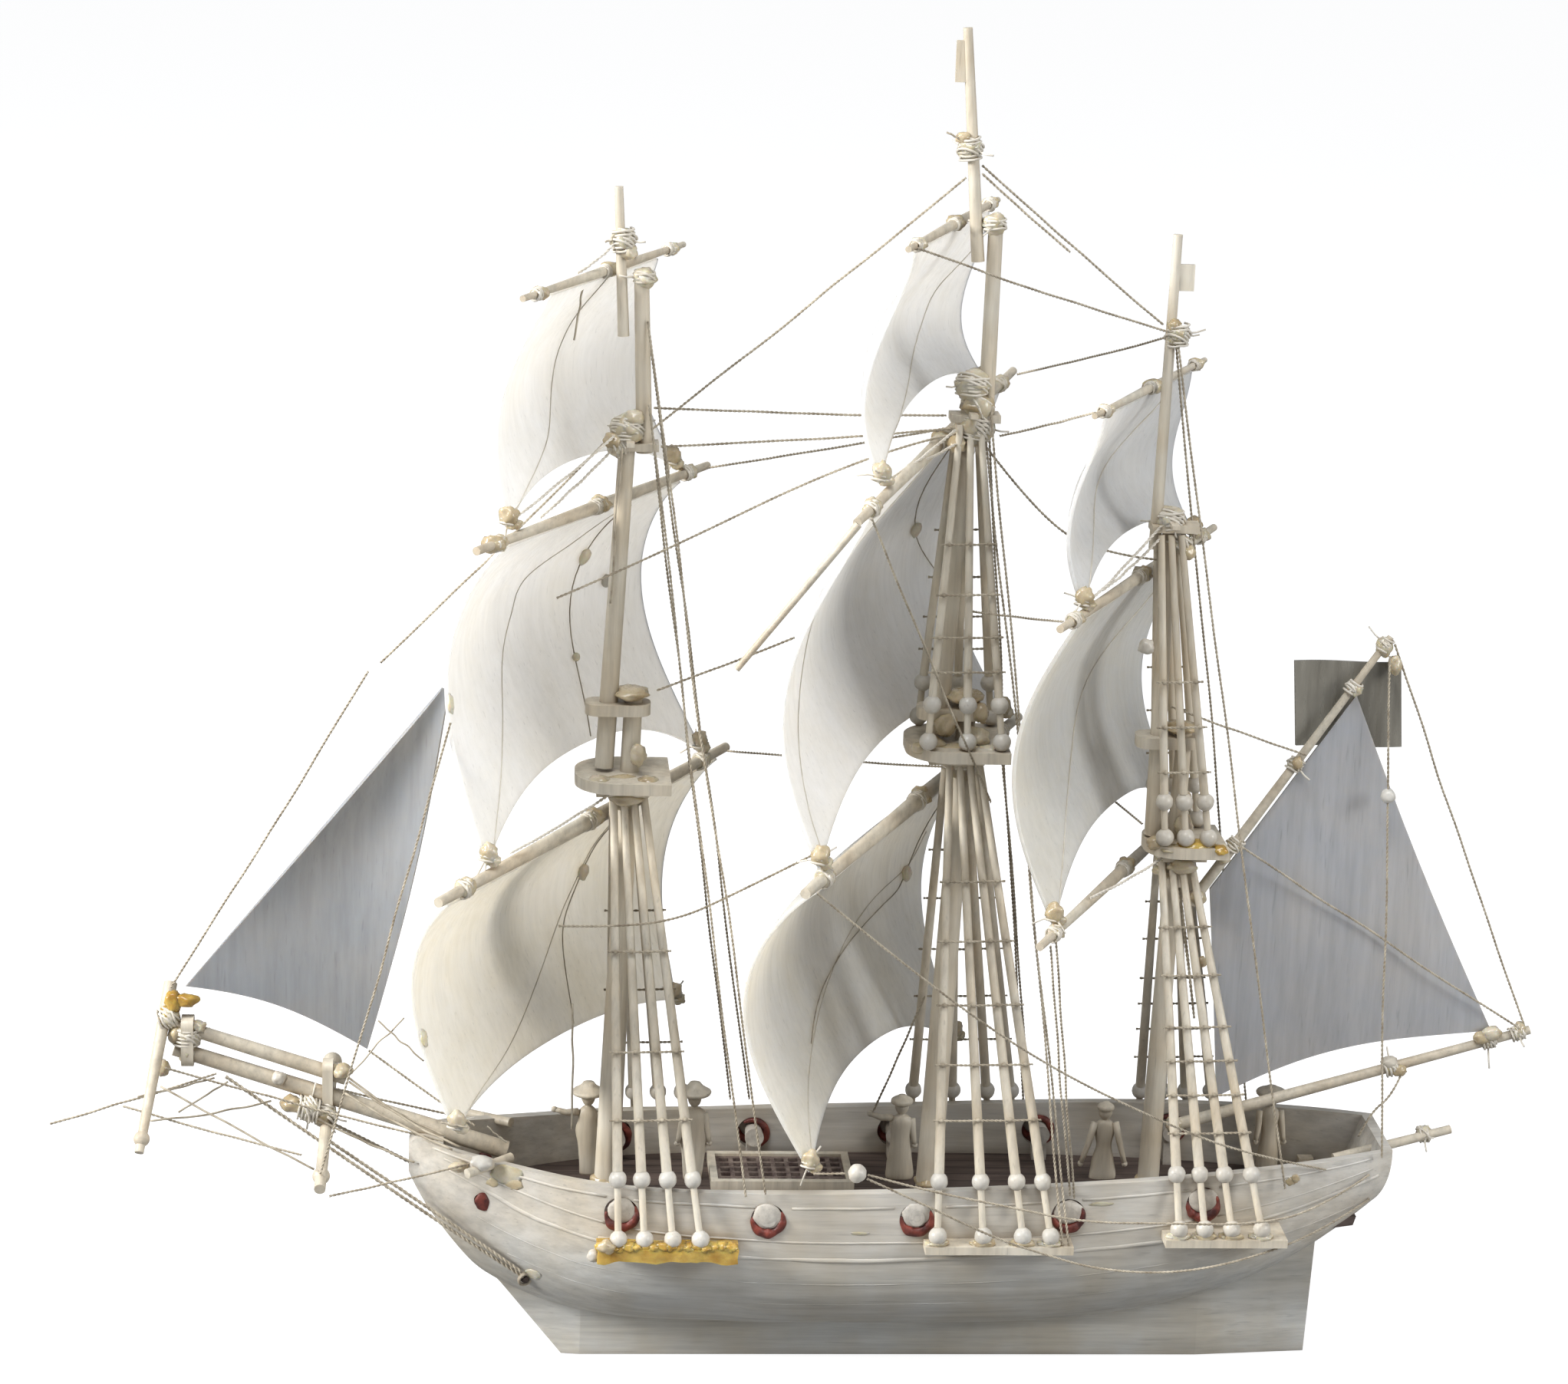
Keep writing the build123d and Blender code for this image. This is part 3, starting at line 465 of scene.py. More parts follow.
def lump(centre, size, seed, rough=0.25, level=3, turn=None):
    """Irregular drop: a ball of three radii, in millimetres, with noise on it."""
    work = bmesh.new()
    bmesh.ops.create_icosphere(work, subdivisions=level, radius=1.0)
    shift = Vector((seed * 3.7, seed * 1.3, seed * 2.1))
    vertices = []
    for vertex in work.verts:
        swell = 1 + rough * noise.noise(vertex.co * 1.6 + shift) + rough * 0.4 * noise.noise(vertex.co * 4 + shift)
        point = mm(vertex.co.x * size[0], vertex.co.y * size[1], vertex.co.z * size[2]) * swell
        if turn is not None:
            point = turn @ point
        vertices.append(centre + point)
    faces = [tuple(v.index for v in face.verts) for face in work.faces]
    work.free()
    return vertices, faces


def helix(centre, axis, radius, turns, rise):
    """Points of a winding round an axis."""
    axis = axis.normalized()
    side = axis.orthogonal().normalized()
    up = axis.cross(side)
    line = []
    count = int(turns * COIL_STEPS)
    for i in range(count + 1):
        angle = 2 * math.pi * i / COIL_STEPS
        along = (i / count - 0.5) * turns * rise
        line.append(centre + axis * along + side * math.cos(angle) * radius + up * math.sin(angle) * radius)
    return line


# ---------------------------------------------------------------- material set
# the hull's last colour is a cooler grey multiplied onto the lower hull as painted shade
HULL = bone("hull_bone", (0.69, 0.665, 0.61), (0.61, 0.55, 0.45), (0.24, 0.17, 0.10), (0.05, 1, 1), 0.24, 0.34,
            0.40, 0.6, 2.2, 0.15, 0.8, (1.0, 0.75, 0.5), (0.88, 0.91, 0.94))
BONE = bone("bone", (0.76, 0.71, 0.60), (0.66, 0.57, 0.43), (0.26, 0.18, 0.10), (1, 1, 0.08), 0.24, 0.38, 0.30)
BEAD = bone("bead_bone", (0.66, 0.64, 0.59), (0.60, 0.55, 0.46), (0.28, 0.20, 0.12), (1, 1, 1), 0.12, 0.30, 0.20)
SAIL = bone("sail_bone", (0.82, 0.81, 0.775), (0.78, 0.75, 0.68), (0.42, 0.33, 0.20), (1, 1, 0.10), 0.10, 0.38,
            0.15, 0.35, 1.2, 1.0, 4.0, (1.0, 0.93, 0.84))
WARM_SAIL = bone("sail_bone_warm", (0.80, 0.755, 0.665), (0.74, 0.68, 0.57), (0.42, 0.33, 0.20), (1, 1, 0.10),
                 0.12, 0.38, 0.15, 0.35, 1.2, 1.0, 4.0, (1.0, 0.90, 0.76))
# painted shade: darker bluish-grey copies of the sail bone for the spanker and the jib, which stand edge-on to the
# lamps
SHADED_SAIL = bone("sail_bone_shaded", (0.455, 0.465, 0.485), (0.50, 0.49, 0.48), (0.28, 0.24, 0.18), (1, 1, 0.06),
                 0.16, 0.40, 0.22, 0.4, 1.2, 0.5)
SHADED_JIB = bone("jib_bone_shaded", (0.345, 0.36, 0.38), (0.38, 0.38, 0.38), (0.22, 0.18, 0.14), (1, 1, 0.06), 0.16,
           0.40, 0.22, 0.4, 1.2, 0.5)
SPAR = bone("spar_bone", (0.70, 0.65, 0.54), (0.60, 0.51, 0.38), (0.26, 0.18, 0.10), (1, 0.2, 1), 0.28, 0.42, 0.35)


def plain(name, first, second, scale, rough, relief, stretch=(1, 1, 1), low=0.35, high=0.65, **settings):
    """Two-tone mottled surface, with any further shader settings."""
    material, tree, shader = new_material(name)
    pattern = grain(tree, stretch, scale, 5.0)
    tree.links.new(ramp(tree, pattern, [(low, first), (high, second)]), shader.inputs["Base Color"])
    fine = grain(tree, stretch, scale * 4, 3.0)
    add_bump(tree, shader, fine, relief, 0.2)
    tree.links.new(ramp(tree, fine, [(0.3, rough + 0.1), (0.7, rough - 0.08)]), shader.inputs["Roughness"])
    dial(shader, **settings)
    return material


def make_glue(name, clear, deep, glow):
    """Old glue, shiny and a little see-through."""
    return plain(name, deep, clear, 420, 0.28, 0.25, Subsurface_Weight=glow, Subsurface_Radius=(1.0, 0.6, 0.2),
                 Subsurface_Scale=1.2 * MM, Coat_Weight=0.35, Coat_Roughness=0.15)


PLANK = 2.4


def make_deck():
    """Brown plank floor, seams across the ship's width."""
    material, tree, shader = new_material("deck_brown")
    row = math_node(tree, "MULTIPLY", object_axis(tree, "Y"), 1 / (PLANK * MM))
    part = math_node(tree, "FRACT", row)
    seam = ramp(tree, part, [(0.0, 0.25), (0.07, 1.0), (0.93, 1.0), (1.0, 0.25)])
    lines = grain(tree, (0.08, 1, 1), 1300, 5.0)
    colour = ramp(tree, lines, [(0.3, (0.060, 0.042, 0.036)), (0.7, (0.135, 0.100, 0.085))])
    tree.links.new(mixed(tree, 1.0, colour, seam, "MULTIPLY"), shader.inputs["Base Color"])
    add_bump(tree, shader, seam, 0.5, 0.15)
    dial(shader, Roughness=0.6)
    return material


GLUE = make_glue("old_glue", (0.66, 0.60, 0.47), (0.47, 0.39, 0.25), 0.35)
AMBER = make_glue("amber_glue", (0.60, 0.42, 0.10), (0.36, 0.20, 0.03), 0.45)
WAX = make_glue("pale_wax", (0.90, 0.82, 0.66), (0.78, 0.66, 0.48), 0.6)
TAN = make_glue("tan_glue", (0.58, 0.49, 0.33), (0.40, 0.31, 0.18), 0.25)
DECK = make_deck()
# silk, warm grey-brown, and thin smoky horn streaked from top to bottom
THREAD = plain("silk_thread", (0.30, 0.25, 0.18), (0.55, 0.49, 0.38), 500, 0.75, 0.3, Sheen_Weight=0.2)
HORN = plain("horn", (0.16, 0.145, 0.115), (0.42, 0.40, 0.34), 380, 0.3, 0.2, (1, 1, 0.12), 0.3, 0.7,
             Transmission_Weight=0.25, IOR=1.54, Coat_Weight=0.3)
GRATE = plain("grating_brown", (0.085, 0.055, 0.050), (0.24, 0.19, 0.16), 700, 0.55, 0.3)
RED = plain("red_wax", (0.055, 0.012, 0.010), (0.23, 0.045, 0.028), 600, 0.5, 0.5)
SEAM = plain("pale_thread", (0.62, 0.57, 0.48), (0.78, 0.74, 0.66), 500, 0.7, 0.3)
# painted shade: near-black for the dark inside of holes where threads go into the hull
HOLE_SHADE = plain("pitch", (0.02, 0.014, 0.012), (0.06, 0.04, 0.03), 800, 0.6, 0.3)
GUN = bone("gun_bone", (0.66, 0.63, 0.57), (0.56, 0.50, 0.42), (0.16, 0.11, 0.08), (1, 1, 1), 0.3, 0.42, 0.3)

FINISH = {
    "hull_bone": HULL, "bone": BONE, "sail_bone": SAIL, "deck_brown": DECK, "grating": GRATE,
    "red_wax": RED, "horn": HORN, "silk_thread": THREAD,
}
SPARS = ("bowsprit", "jibboom", "spanker_boom", "gaff", "boomkin", "catheads", "studdingsail_boom")
# nodes whose finish differs from that of their slot
OWN_FINISH = {
    **{name: SPAR for name in NODES if name in SPARS or name.endswith(("_yard", "crossjack"))},
    "fore_course_sail": WARM_SAIL, "main_course_sail": WARM_SAIL, "mizzen_topsail_sail": WARM_SAIL,
    "spanker": SHADED_SAIL, "jib": SHADED_JIB, "cannons": GUN, "deadeyes": BEAD,
}
SLOT_OF = {part["node"]: part["material_slot"] for part in frame["record"]["subparts"]}


def dress_nodes():
    """Every CAD node that stays in view gets its finish."""
    for name, node in NODES.items():
        node.data.materials.clear()
        node.data.materials.append(OWN_FINISH.get(name, FINISH[SLOT_OF[name]]))


# ---------------------------------------------------------------- threads
# slack routes that the straight runs can't give, in millimetres
BOBSTAYS = {
    "bobstay_long": [(-95.4, -0.5, 38.4), (-64, -8.4, 18.8), (-55.8, -9.4, 13.8)],
    "bobstay_port": [(-82.6, -2.2, 30.7), (-64.4, -8.6, 20.4), (-56.2, -9.9, 14.8)],
    "bobstay_starboard": [(-82.4, 1.5, 31.6), (-64, 8.4, 19.2), (-55.8, 9.4, 13.8)],
}
CURVED = {
    "crosslines": [
        [(1, 0.4, 126.2), (8.8, 0.4, 116.4), (16.8, 0.4, 111.2), (25, 0.4, 110.4)],
        [(30.2, -2, 66.4), (31.3, -3.4, 60), (32.6, -5.6, 49.4)],
    ],
    "fore_braces": [
        [(-53, -8, 106.1), (-43.3, -4.2, 109.5), (-13.1, -2.2, 124.7), (-1.8, -1.1, 127)],
        [(-52, -9.5, 62.8), (-44.8, -9.2, 62.6), (-36.5, -8.4, 63.4), (-28.7, -4.2, 65.8), (-18.4, -2.6, 70.8)],
    ],
    "spanker_lines": [[(62.4, -0.8, 40.2), (61, -1.6, 37), (58.4, -1.2, 34.6), (57, -1, 31)]],
}
CORDS = {
    "main_course_brace": [
        (-20.8, -34, 75.5), (-6.5, -31.5, 63), (10, -26.5, 50.2), (27.5, -20.2, 39.8), (38.7, -16.8, 34.5),
        (50.5, -11.2, 30.2),
    ],
    "main_sheet_upper": [
        (-12, -23.6, 34.2), (-4.9, -23.2, 32), (6.3, -21.9, 29.2), (16.7, -21, 26.6), (27.8, -20.7, 26.4),
        (38.6, -20.2, 26), (48.5, -15, 25.6), (57, -8.9, 28.6),
    ],
    "main_sheet_lower": [
        (-12.1, -24, 33.8), (-4.9, -23.9, 30.4), (4.7, -22.4, 25.1), (12.2, -21.8, 22.3), (18.8, -21.4, 20.2),
        (28.2, -21, 19.4), (37.6, -20.2, 20.7), (49.6, -14.6, 22.6), (57.4, -8.2, 24.8),
    ],
}
THREAD_DIA = 0.35 * MM
# a thread that strays further than this from a straight line has its own route above
STRAY = 0.55 * MM
# a lump between these sizes on a node of threads is a bead
BEAD_SIZES = (1.5 * MM, 2.6 * MM)
# sag and wander as a share of a thread's length
SLACK = 0.006
SWINGING = {
    "fore_braces": "fore_yards", "main_braces": "main_yards", "mizzen_braces": "mizzen_yards",
    "spanker_lines": "spanker",
}
BOXES = {name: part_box(name) for name in NODES}
SURFACES = {}


def surface(node):
    """Search tree of a CAD node's faces, made once."""
    if node not in SURFACES:
        SURFACES[node] = BVHTree.FromObject(NODES[node], bpy.context.evaluated_depsgraph_get())
    return SURFACES[node]


def gap_to(body, point):
    """Distance from a point to the nearest solid, threads left out, of a body."""
    gaps = []
    for node, owner in BODY_OF.items():
        if owner == body and SLOT_OF[node] != "silk_thread":
            low, high = BOXES[node]
            if all(low[i] - 0.02 < point[i] < high[i] + 0.02 for i in range(3)):
                hit = surface(node).find_nearest(point, 0.03)
                if hit[0] is not None:
                    gaps.append(hit[3])
    return min(gaps, default=1.0)


def tie(piece, moving, route):
    """A thread rides with the body that both its ends are made fast to; one made fast to two bodies stays where it
    is.
    """
    follows = [gap_to(moving, end) < gap_to("ship", end) for end in (route[0], route[-1])]
    if follows == [True, False]:
        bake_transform(piece)
    elif follows == [False, True]:
        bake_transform(piece)
    else:
        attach(piece, moving if follows[0] else "ship")


def rigging(node):
    """Twisted threads in place of a node's plain ones; its small beads stay beads."""
    body = BODY_OF[node]
    routes = [spline(route) for route in CURVED.get(node, [])]
    beads = Shape()
    thin = Shape()
    for points in islands(node):
        size = span(points)
        if min(size) > BEAD_SIZES[0] and max(size) < BEAD_SIZES[1]:
            beads.add(*lump(middle(points), size * 0.5 / MM, middle(points).x * 400, 0.12))
            continue
        first, last, stray = ends(points)
        if stray < STRAY:
            length = (last - first).length
            routes.append(sagged(first, last, SLACK * length, SLACK * length))
    for number, route in enumerate(routes):
        shape = ply(route, THREAD_DIA)
        if node in SWINGING:
            piece = add_piece(f"{node}_{number + 1}", *shape, THREAD, None, "silk_thread")
            tie(piece, SWINGING[node], route)
            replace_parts(piece, node)
        else:
            thin.add(*shape)
    if thin.vertices:
        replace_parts(thin.piece(f"{node}_twisted", THREAD, body, "silk_thread"), node)
    if beads.vertices:
        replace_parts(beads.piece(f"{node}_beads", BEAD, body, "silk_thread"), node)


def free_cords():
    """The long slack threads of the main yard, each cut to its own length."""
    for node, route in CORDS.items():
        line = spline(route)
        piece = add_piece(f"{node}_cord", *ply(line, THREAD_DIA), THREAD, None, "silk_thread")
        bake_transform(piece)
        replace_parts(piece, node)


# ---------------------------------------------------------------- the square sails, in millimetres
# yard: mast pivot x, forward offset, half length, height, brace angle, port end droop, dia
YARDS = {
    "fore_topgallant": (-44, 3.6, 25.5, 146.6, 25, 0, 1.3),
    "fore_topsail": (-44, 4.3, 31, 115.9, 30, 0, 1.7),
    "fore_course": (-44, 4.4, 38, 73.6, 31, 1, 2.1),
    "main_topgallant": (-0.2, 3.2, 24, 153.6, 20, 0, 1.3),
    "main_topsail": (-0.2, 4, 34, 125.2, 23, 3.8, 1.8),
    "main_course": (-0.2, 4.8, 40.5, 77, 26, 1.5, 2.2),
    "mizzen_topgallant": (27, 4.1, 23, 132.9, 27, 0, 1.2),
    "mizzen_topsail": (27, 4.2, 29, 107.8, 29, 1, 1.6),
    "mizzen_crossjack": (27, 4, 34, 67.9, 27, 1, 1.7),
}
# sail: yard below, half head, half foot, clew height, foot arch, leech and middle belly,
# where the belly is fullest, foot shift, sideways drift
SAILS = {
    "fore_topgallant": ("fore_topsail", 17, 22.5, 117.2, 4.6, 4, 7, 1.05, 1, 1),
    "fore_topsail": ("fore_course", 23.2, 28.6, 75, 7.6, 7.4, 11, 0.80, 0, 2.4),
    "fore_course": ("fore_course", 35.5, 29.5, 39.4, 2.6, 5.6, 10, 0.80, 2.2, 0),
    "main_topgallant": ("main_topsail", 19.5, 23, 126.8, 5, 3.6, 7, 1.45, 0.6, 0),
    "main_topsail": ("main_course", 28, 35.5, 78.6, 8, 7.8, 11, 1.12, 0, 0),
    "main_course": ("main_course", 36.5, 28, 34, 7, 9.3, 12, 0.85, 2.6, 0),
    "mizzen_topgallant": ("mizzen_topsail", 17.5, 21, 108.8, 5, 3, 6, 1.35, 0, 0),
    "mizzen_topsail": ("mizzen_crossjack", 21.5, 27.2, 68.6, 7.6, 7, 6.8, 1, 0.4, 0),
}
# threads glued down on the after face of each sail: (across, down) from yard to clew
SAIL_LINES = {
    "fore_topgallant": [(0.03, 0.02), (0.05, 0.25), (0.07, 0.42), (0, 0.61), (-0.22, 0.81), (-0.55, 0.93),
                        (-0.95, 0.995)],
    "fore_topsail": [(0.5, 0.10), (0.3, 0.22), (-0.05, 0.32), (-0.15, 0.44), (-0.3, 0.56), (-0.5, 0.74),
                     (-0.72, 0.89), (-0.95, 0.995)],
    "fore_course": [(0.5, 0.05), (0.48, 0.26), (0.4, 0.46), (0.1, 0.71), (-0.38, 0.92), (-0.93, 0.99)],
    "main_topgallant": [(0.9, 0.2), (0.65, 0.45), (0.5, 0.70), (0.03, 0.88), (-0.45, 0.97), (-0.9, 0.995)],
    "main_topsail": [(-0.1, 0.02), (-0.3, 0.15), (-0.5, 0.34), (-0.6, 0.56), (-0.82, 0.73), (-0.93, 0.87),
                     (-0.96, 0.99)],
    "main_course": [(0.95, 0.35), (0.85, 0.46), (0.48, 0.56), (0.05, 0.68), (-0.32, 0.78), (-0.72, 0.89),
                    (-0.96, 0.99)],
    "mizzen_topgallant": [(0.5, 0.03), (0.32, 0.3), (0.15, 0.52), (-0.35, 0.8), (-0.93, 0.99)],
    "mizzen_topsail": [(0.75, 0.08), (0.58, 0.25), (0.07, 0.45), (-0.27, 0.71), (-0.65, 0.9), (-0.95, 0.99)],
}
# a second, straight thread over some sails, with the blocks threaded on it
SAIL_DROPS = {
    "fore_topsail": [(0.53, 0.05), (0.48, 0.29), (0.28, 0.68), (0.1, 0.97)],
    "fore_course": [(0.5, 0.04), (0.45, 0.39), (0.3, 0.62), (0.18, 0.97)],
    "main_topsail": [(0.3, 0.05), (0.62, 0.43), (0.9, 0.60)],
    "main_course": [(0.95, 0.20), (0.83, 0.48), (0.58, 0.58), (-0.15, 0.71), (-0.5, 0.81)],
}
# sail, across, down, radii across and up, wax block or round bead
SAIL_BLOCKS = (
    ("fore_topsail", 0.48, 0.29, 1.05, 1.25, "wax"), ("fore_topsail", 0.28, 0.68, 0.55, 0.6, "wax"),
    ("fore_topsail", 0.70, 0.40, 0.95, 0.95, "pearl"), ("fore_course", 0.45, 0.39, 1, 1.25, "wax"),
    ("main_topsail", 0.62, 0.43, 1.1, 1.2, "wax"), ("main_course", 0.83, 0.48, 1.15, 1.2, "wax"),
)
# how rough each is, and how finely divided
BLOCK_CUT = {"wax": (0.22, 2), "pearl": (0.10, 3)}


def yards_of(name):
    """The moving body that a sail or yard belongs to."""
    return name.split("_")[0] + "_yards"


def sail_point(name, u, v):
    """Middle of a sail's plate, across from -1 to 1 and down from 0 to 1."""
    lower, head, foot, clew_z, arch, leech, belly, peak, shift, drift = SAILS[name]
    upper = YARDS[name]
    below = YARDS[lower]
    s = u * (head + (foot - head) * v) + drift * v
    full = math.sin(math.pi * v ** peak)
    bulge = (leech + (belly - leech) * (1 - u * u)) * full + 0.3 * belly * (1 - u * u) * v ** 4
    offset = upper[1] + (below[1] + shift - upper[1]) * v + bulge
    turn = math.radians(upper[4] + (below[4] - upper[4]) * v)
    top = upper[3] - upper[6] * 0.5 - 0.15 + upper[5] * s / upper[2]
    bottom = clew_z + arch * (1 - abs(u) ** 2.6)
    if lower != name:
        bottom += below[5] * s / below[2]
    z = top + (bottom - top) * v
    x = upper[0] + s * math.sin(turn) - offset * math.cos(turn)
    y = s * math.cos(turn) + offset * math.sin(turn)
    return mm(x, y, z)


def yard_point(name, s, forward=0.0):
    """Place s millimetres out along a yard."""
    pivot, offset, half, z, brace, droop, _ = YARDS[name]
    turn = math.radians(brace)
    offset += forward
    x = pivot + s * math.sin(turn) - offset * math.cos(turn)
    return mm(x, s * math.cos(turn) + offset * math.sin(turn), z + droop * s / half)


def on_sail(name, u, v, lift):
    """Point on the after face of a sail, lifted off it, and the way out of the face."""
    turn = math.radians(YARDS[name][4])
    aft = Vector((math.cos(turn), -math.sin(turn), 0))
    place, out, _, _ = surface(name + "_sail").find_nearest(sail_point(name, u, v) + aft * 1.2 * MM)
    return place + out * lift, out


def curve_through(points, steps):
    """Smooth run through every point."""
    line = []
    for i in range(len(points) - 1):
        a, b = points[max(0, i - 1)], points[i]
        c, d = points[i + 1], points[min(len(points) - 1, i + 2)]
        for k in range(steps):
            t = k / steps
            line.append(tuple(
                0.5 * (2 * q + (r - p) * t + (2 * p - 5 * q + 4 * r - w) * t * t + (3 * q - p - 3 * r + w) * t ** 3)
                for p, q, r, w in zip(a, b, c, d)
            ))
    line.append(tuple(points[-1]))
    return line


# ---------------------------------------------------------------- glue, whippings and loose ends
POTS = {}


def pot(kind, body):
    """The growing piece of one kind of stuff on one body."""
    return POTS.setdefault((kind, body), Shape())


def dab(kind, body, place, size, rough=0.28):
    """Drop of glue round a point, in millimetres."""
    centre = mm(*place)
    pot(kind, body).add(*lump(centre, size, centre.x * 300 + centre.z * 170, rough))


def dabs(body, table):
    """All the drops in a table."""
    for kind, rows in table.items():
        for x, y, z, *size in rows:
            dab(kind, body, (x, y, z), size)


def facing(out):
    """Turn that lays a thin lump flat on a face."""
    return out.to_track_quat("Y", "Z").to_matrix()


def twine(body, line, dia, kind="seam"):
    """Single thin thread."""
    pot(kind, body).add(*tube(line, dia * 0.5 * MM, 6))


def whipping(body, place, axis, radius, turns, tails=2):
    """Thread wound round a spar, with its cut ends left standing."""
    centre = mm(*place)
    axis = Vector(axis).normalized()
    line = helix(centre, axis, radius * 0.97 * MM, turns, 0.5 * MM)
    wobble = Vector((centre.x * 310, centre.z * 230, 1.7))
    line = [p + noise.noise_vector(wobble + p * 900) * 0.16 * MM for p in line]
    twine(body, line, 0.32)
    pot("glue", body).add(*lump(centre, (radius * 1.03,) * 3, centre.z * 900, 0.26))
    cross = helix(centre, (axis + axis.orthogonal() * 0.55), radius * 1.04 * MM, max(1, turns - 2), 0.5 * MM)
    twine(body, cross, 0.34)
    for k in range(tails):
        out = noise.noise_vector(wobble + Vector((k * 9.3, 4.4, 2.2)))
        out = (out - axis * out.dot(axis)).normalized() + axis * 0.5 * noise.noise(wobble + Vector((k * 3.1, 0, 0)))
        root = centre + out * radius * MM
        reach = (1.6 + 2.2 * abs(noise.noise(wobble + Vector((0, k * 5.3, 0))))) * MM
        tip = root + out * reach
        twine(body, [root, root.lerp(tip, 0.5) + Vector((0, 0, -0.12 * MM)), tip], 0.26)


# drops on the ship by kind: place, then radii
SHIP_DABS = {
    "glue": (
        (-45.4, 0, 150.8, 1.5, 1.5, 1.5), (-44.6, -0.4, 149.3, 1.1, 1.1, 1), (-42.4, 0, 146, 1.5, 1.5, 0.8),
        (-44.2, 0, 126.6, 2.1, 2.2, 1.5), (-43.5, -0.8, 128, 1.3, 1.3, 1.1), (-1.8, 0, 163.3, 1.5, 1.5, 1.4),
        (1.6, 0, 153.9, 1.5, 1.4, 0.9), (-0.2, 0, 133.2, 2.2, 2.2, 1.4), (0.4, 0, 127.4, 2.3, 2.3, 1.7),
        (26, 0, 140.1, 1.5, 1.5, 1.4), (26.4, 0, 115.9, 1.8, 1.8, 1.4), (27.6, -0.3, 112.9, 1.4, 1.5, 1.1),
        (-47, -4, 80.9, 1.5, 1.5, 0.6), (-43.4, -2.6, 78, 2.2, 1.2, 0.9), (3.6, -4.6, 85.8, 1.5, 1.4, 0.6),
        (30.4, -2.4, 69.6, 2, 1.3, 1), (-99, -0.3, 45.4, 1, 1.1, 0.8), (-100.4, 0, 41.6, 1.2, 1.6, 1.4),
        (-103.6, -0.6, 39.6, 0.9, 0.9, 1.1), (-84.6, -1.2, 34.4, 1.3, 1.4, 1.2),
        (-80.2, -0.6, 39.4, 1.4, 1.4, 1), (-64.6, -7.6, 28.6, 1.3, 0.9, 0.7), (2.2, -2.6, 87, 1.7, 1.6, 1.3),
        (-5.4, -4.6, 85.9, 1.2, 1.2, 0.7), (-42, -2.6, 84, 1.1, 1.1, 1.5), (30.2, -2.2, 75, 1.2, 1.1, 1.6),
        (28.6, 0, 68.2, 1.9, 1.9, 0.8),
    ),
    "tan": (
        (-46, -1, 125.2, 1.4, 1.2, 1.1), (-2.8, -0.3, 164.6, 0.9, 0.9, 0.8), (0.6, -0.4, 130.4, 2.1, 2, 1.2),
        (-1.9, -1.2, 125.6, 1.3, 1.3, 1.2), (25.4, -0.4, 141.4, 0.9, 0.9, 0.9), (28.8, -1.2, 111.8, 1, 1, 1),
        (-44.2, -3, 80.6, 2.6, 1.3, 0.7), (-40.6, -4.2, 81, 1.4, 1.4, 0.6), (-43, 0, 91.6, 2.4, 2.4, 0.9),
        (0.6, 0, 91.8, 2.6, 2.6, 0.9), (-0.2, -4, 85.7, 3.6, 1.4, 0.7), (29.4, 0, 88, 2.2, 2.2, 0.8),
        (28.6, -4, 72.4, 1.7, 1.4, 0.6), (-101.9, -0.2, 44.4, 1.1, 1.3, 1.4),
        (-86.7, -1.4, 35, 1.5, 1.5, 1.1), (-82.6, -1, 33, 1.4, 1.5, 1.3), (-3.6, -3.4, 86.2, 1.6, 1.5, 0.9),
        (-2, -2.2, 88.4, 1.5, 1.3, 1.6), (2.6, -1.8, 90, 1.1, 1.2, 1.4), (26.4, -3.2, 73, 1.2, 1.2, 0.9),
        (46.3, -11.9, 29.2, 0.6, 0.4, 0.6), (33.4, -4.6, 57, 0.6, 0.6, 0.8), (34, -4.8, 48.8, 0.6, 0.6, 0.7),
        (-1, 0, 24, 2.2, 2.2, 0.9), (-44.8, 0, 24, 2.2, 2.2, 0.8), (28.7, 0, 24.2, 1.9, 1.9, 0.7),
    ),
    "amber": (
        (31.8, -3.8, 72.8, 2.4, 1.6, 0.9), (33.8, -3.6, 72.2, 1.3, 1.4, 0.8), (-102.3, 0, 48.6, 1.1, 1, 1.7),
        (-100.6, -0.2, 49, 1.7, 1, 0.9), (-103.1, 0, 46.6, 1.1, 1.3, 1.5), (34.8, -5, 72.6, 1, 1, 0.7),
    ),
    "pearl": (
        (-88.4, -0.8, 38.4, 1, 1, 0.9), (-61.6, -9.5, 29.9, 1.5, 1.2, 1), (23.9, -2.2, 99.4, 1, 1, 1.05),
    ),
    # near-black dots where threads go into holes: painted shade of the holes
    "pitch": (
        (-55.6, -9.3, 13.4, 0.55, 0.4, 0.5), (-55.6, 9.3, 13.4, 0.55, 0.4, 0.5),
        (57.2, -6.8, 27.4, 0.7, 0.6, 0.6),
    ),
}
# thin stains on the hull: place, size along the hull, thickness, up
SMEARS = (
    ((-59.4, -12, 28.4), (2.3, 0.22, 1.4), "glue"), ((-58.2, -12, 27.2), (1.3, 0.20, 0.8), "tan"),
    ((-61.4, -12, 27), (0.9, 0.20, 0.6), "tan"), ((-55.6, -12, 13.4), (1.2, 0.18, 0.9), "glue"),
    ((20, -18, 27.2), (1.6, 0.12, 0.3), "glue"), ((-12, -18, 23.2), (1.3, 0.12, 0.25), "glue"),
    ((46.3, -14, 29), (0.8, 0.2, 0.6), "tan"),
)
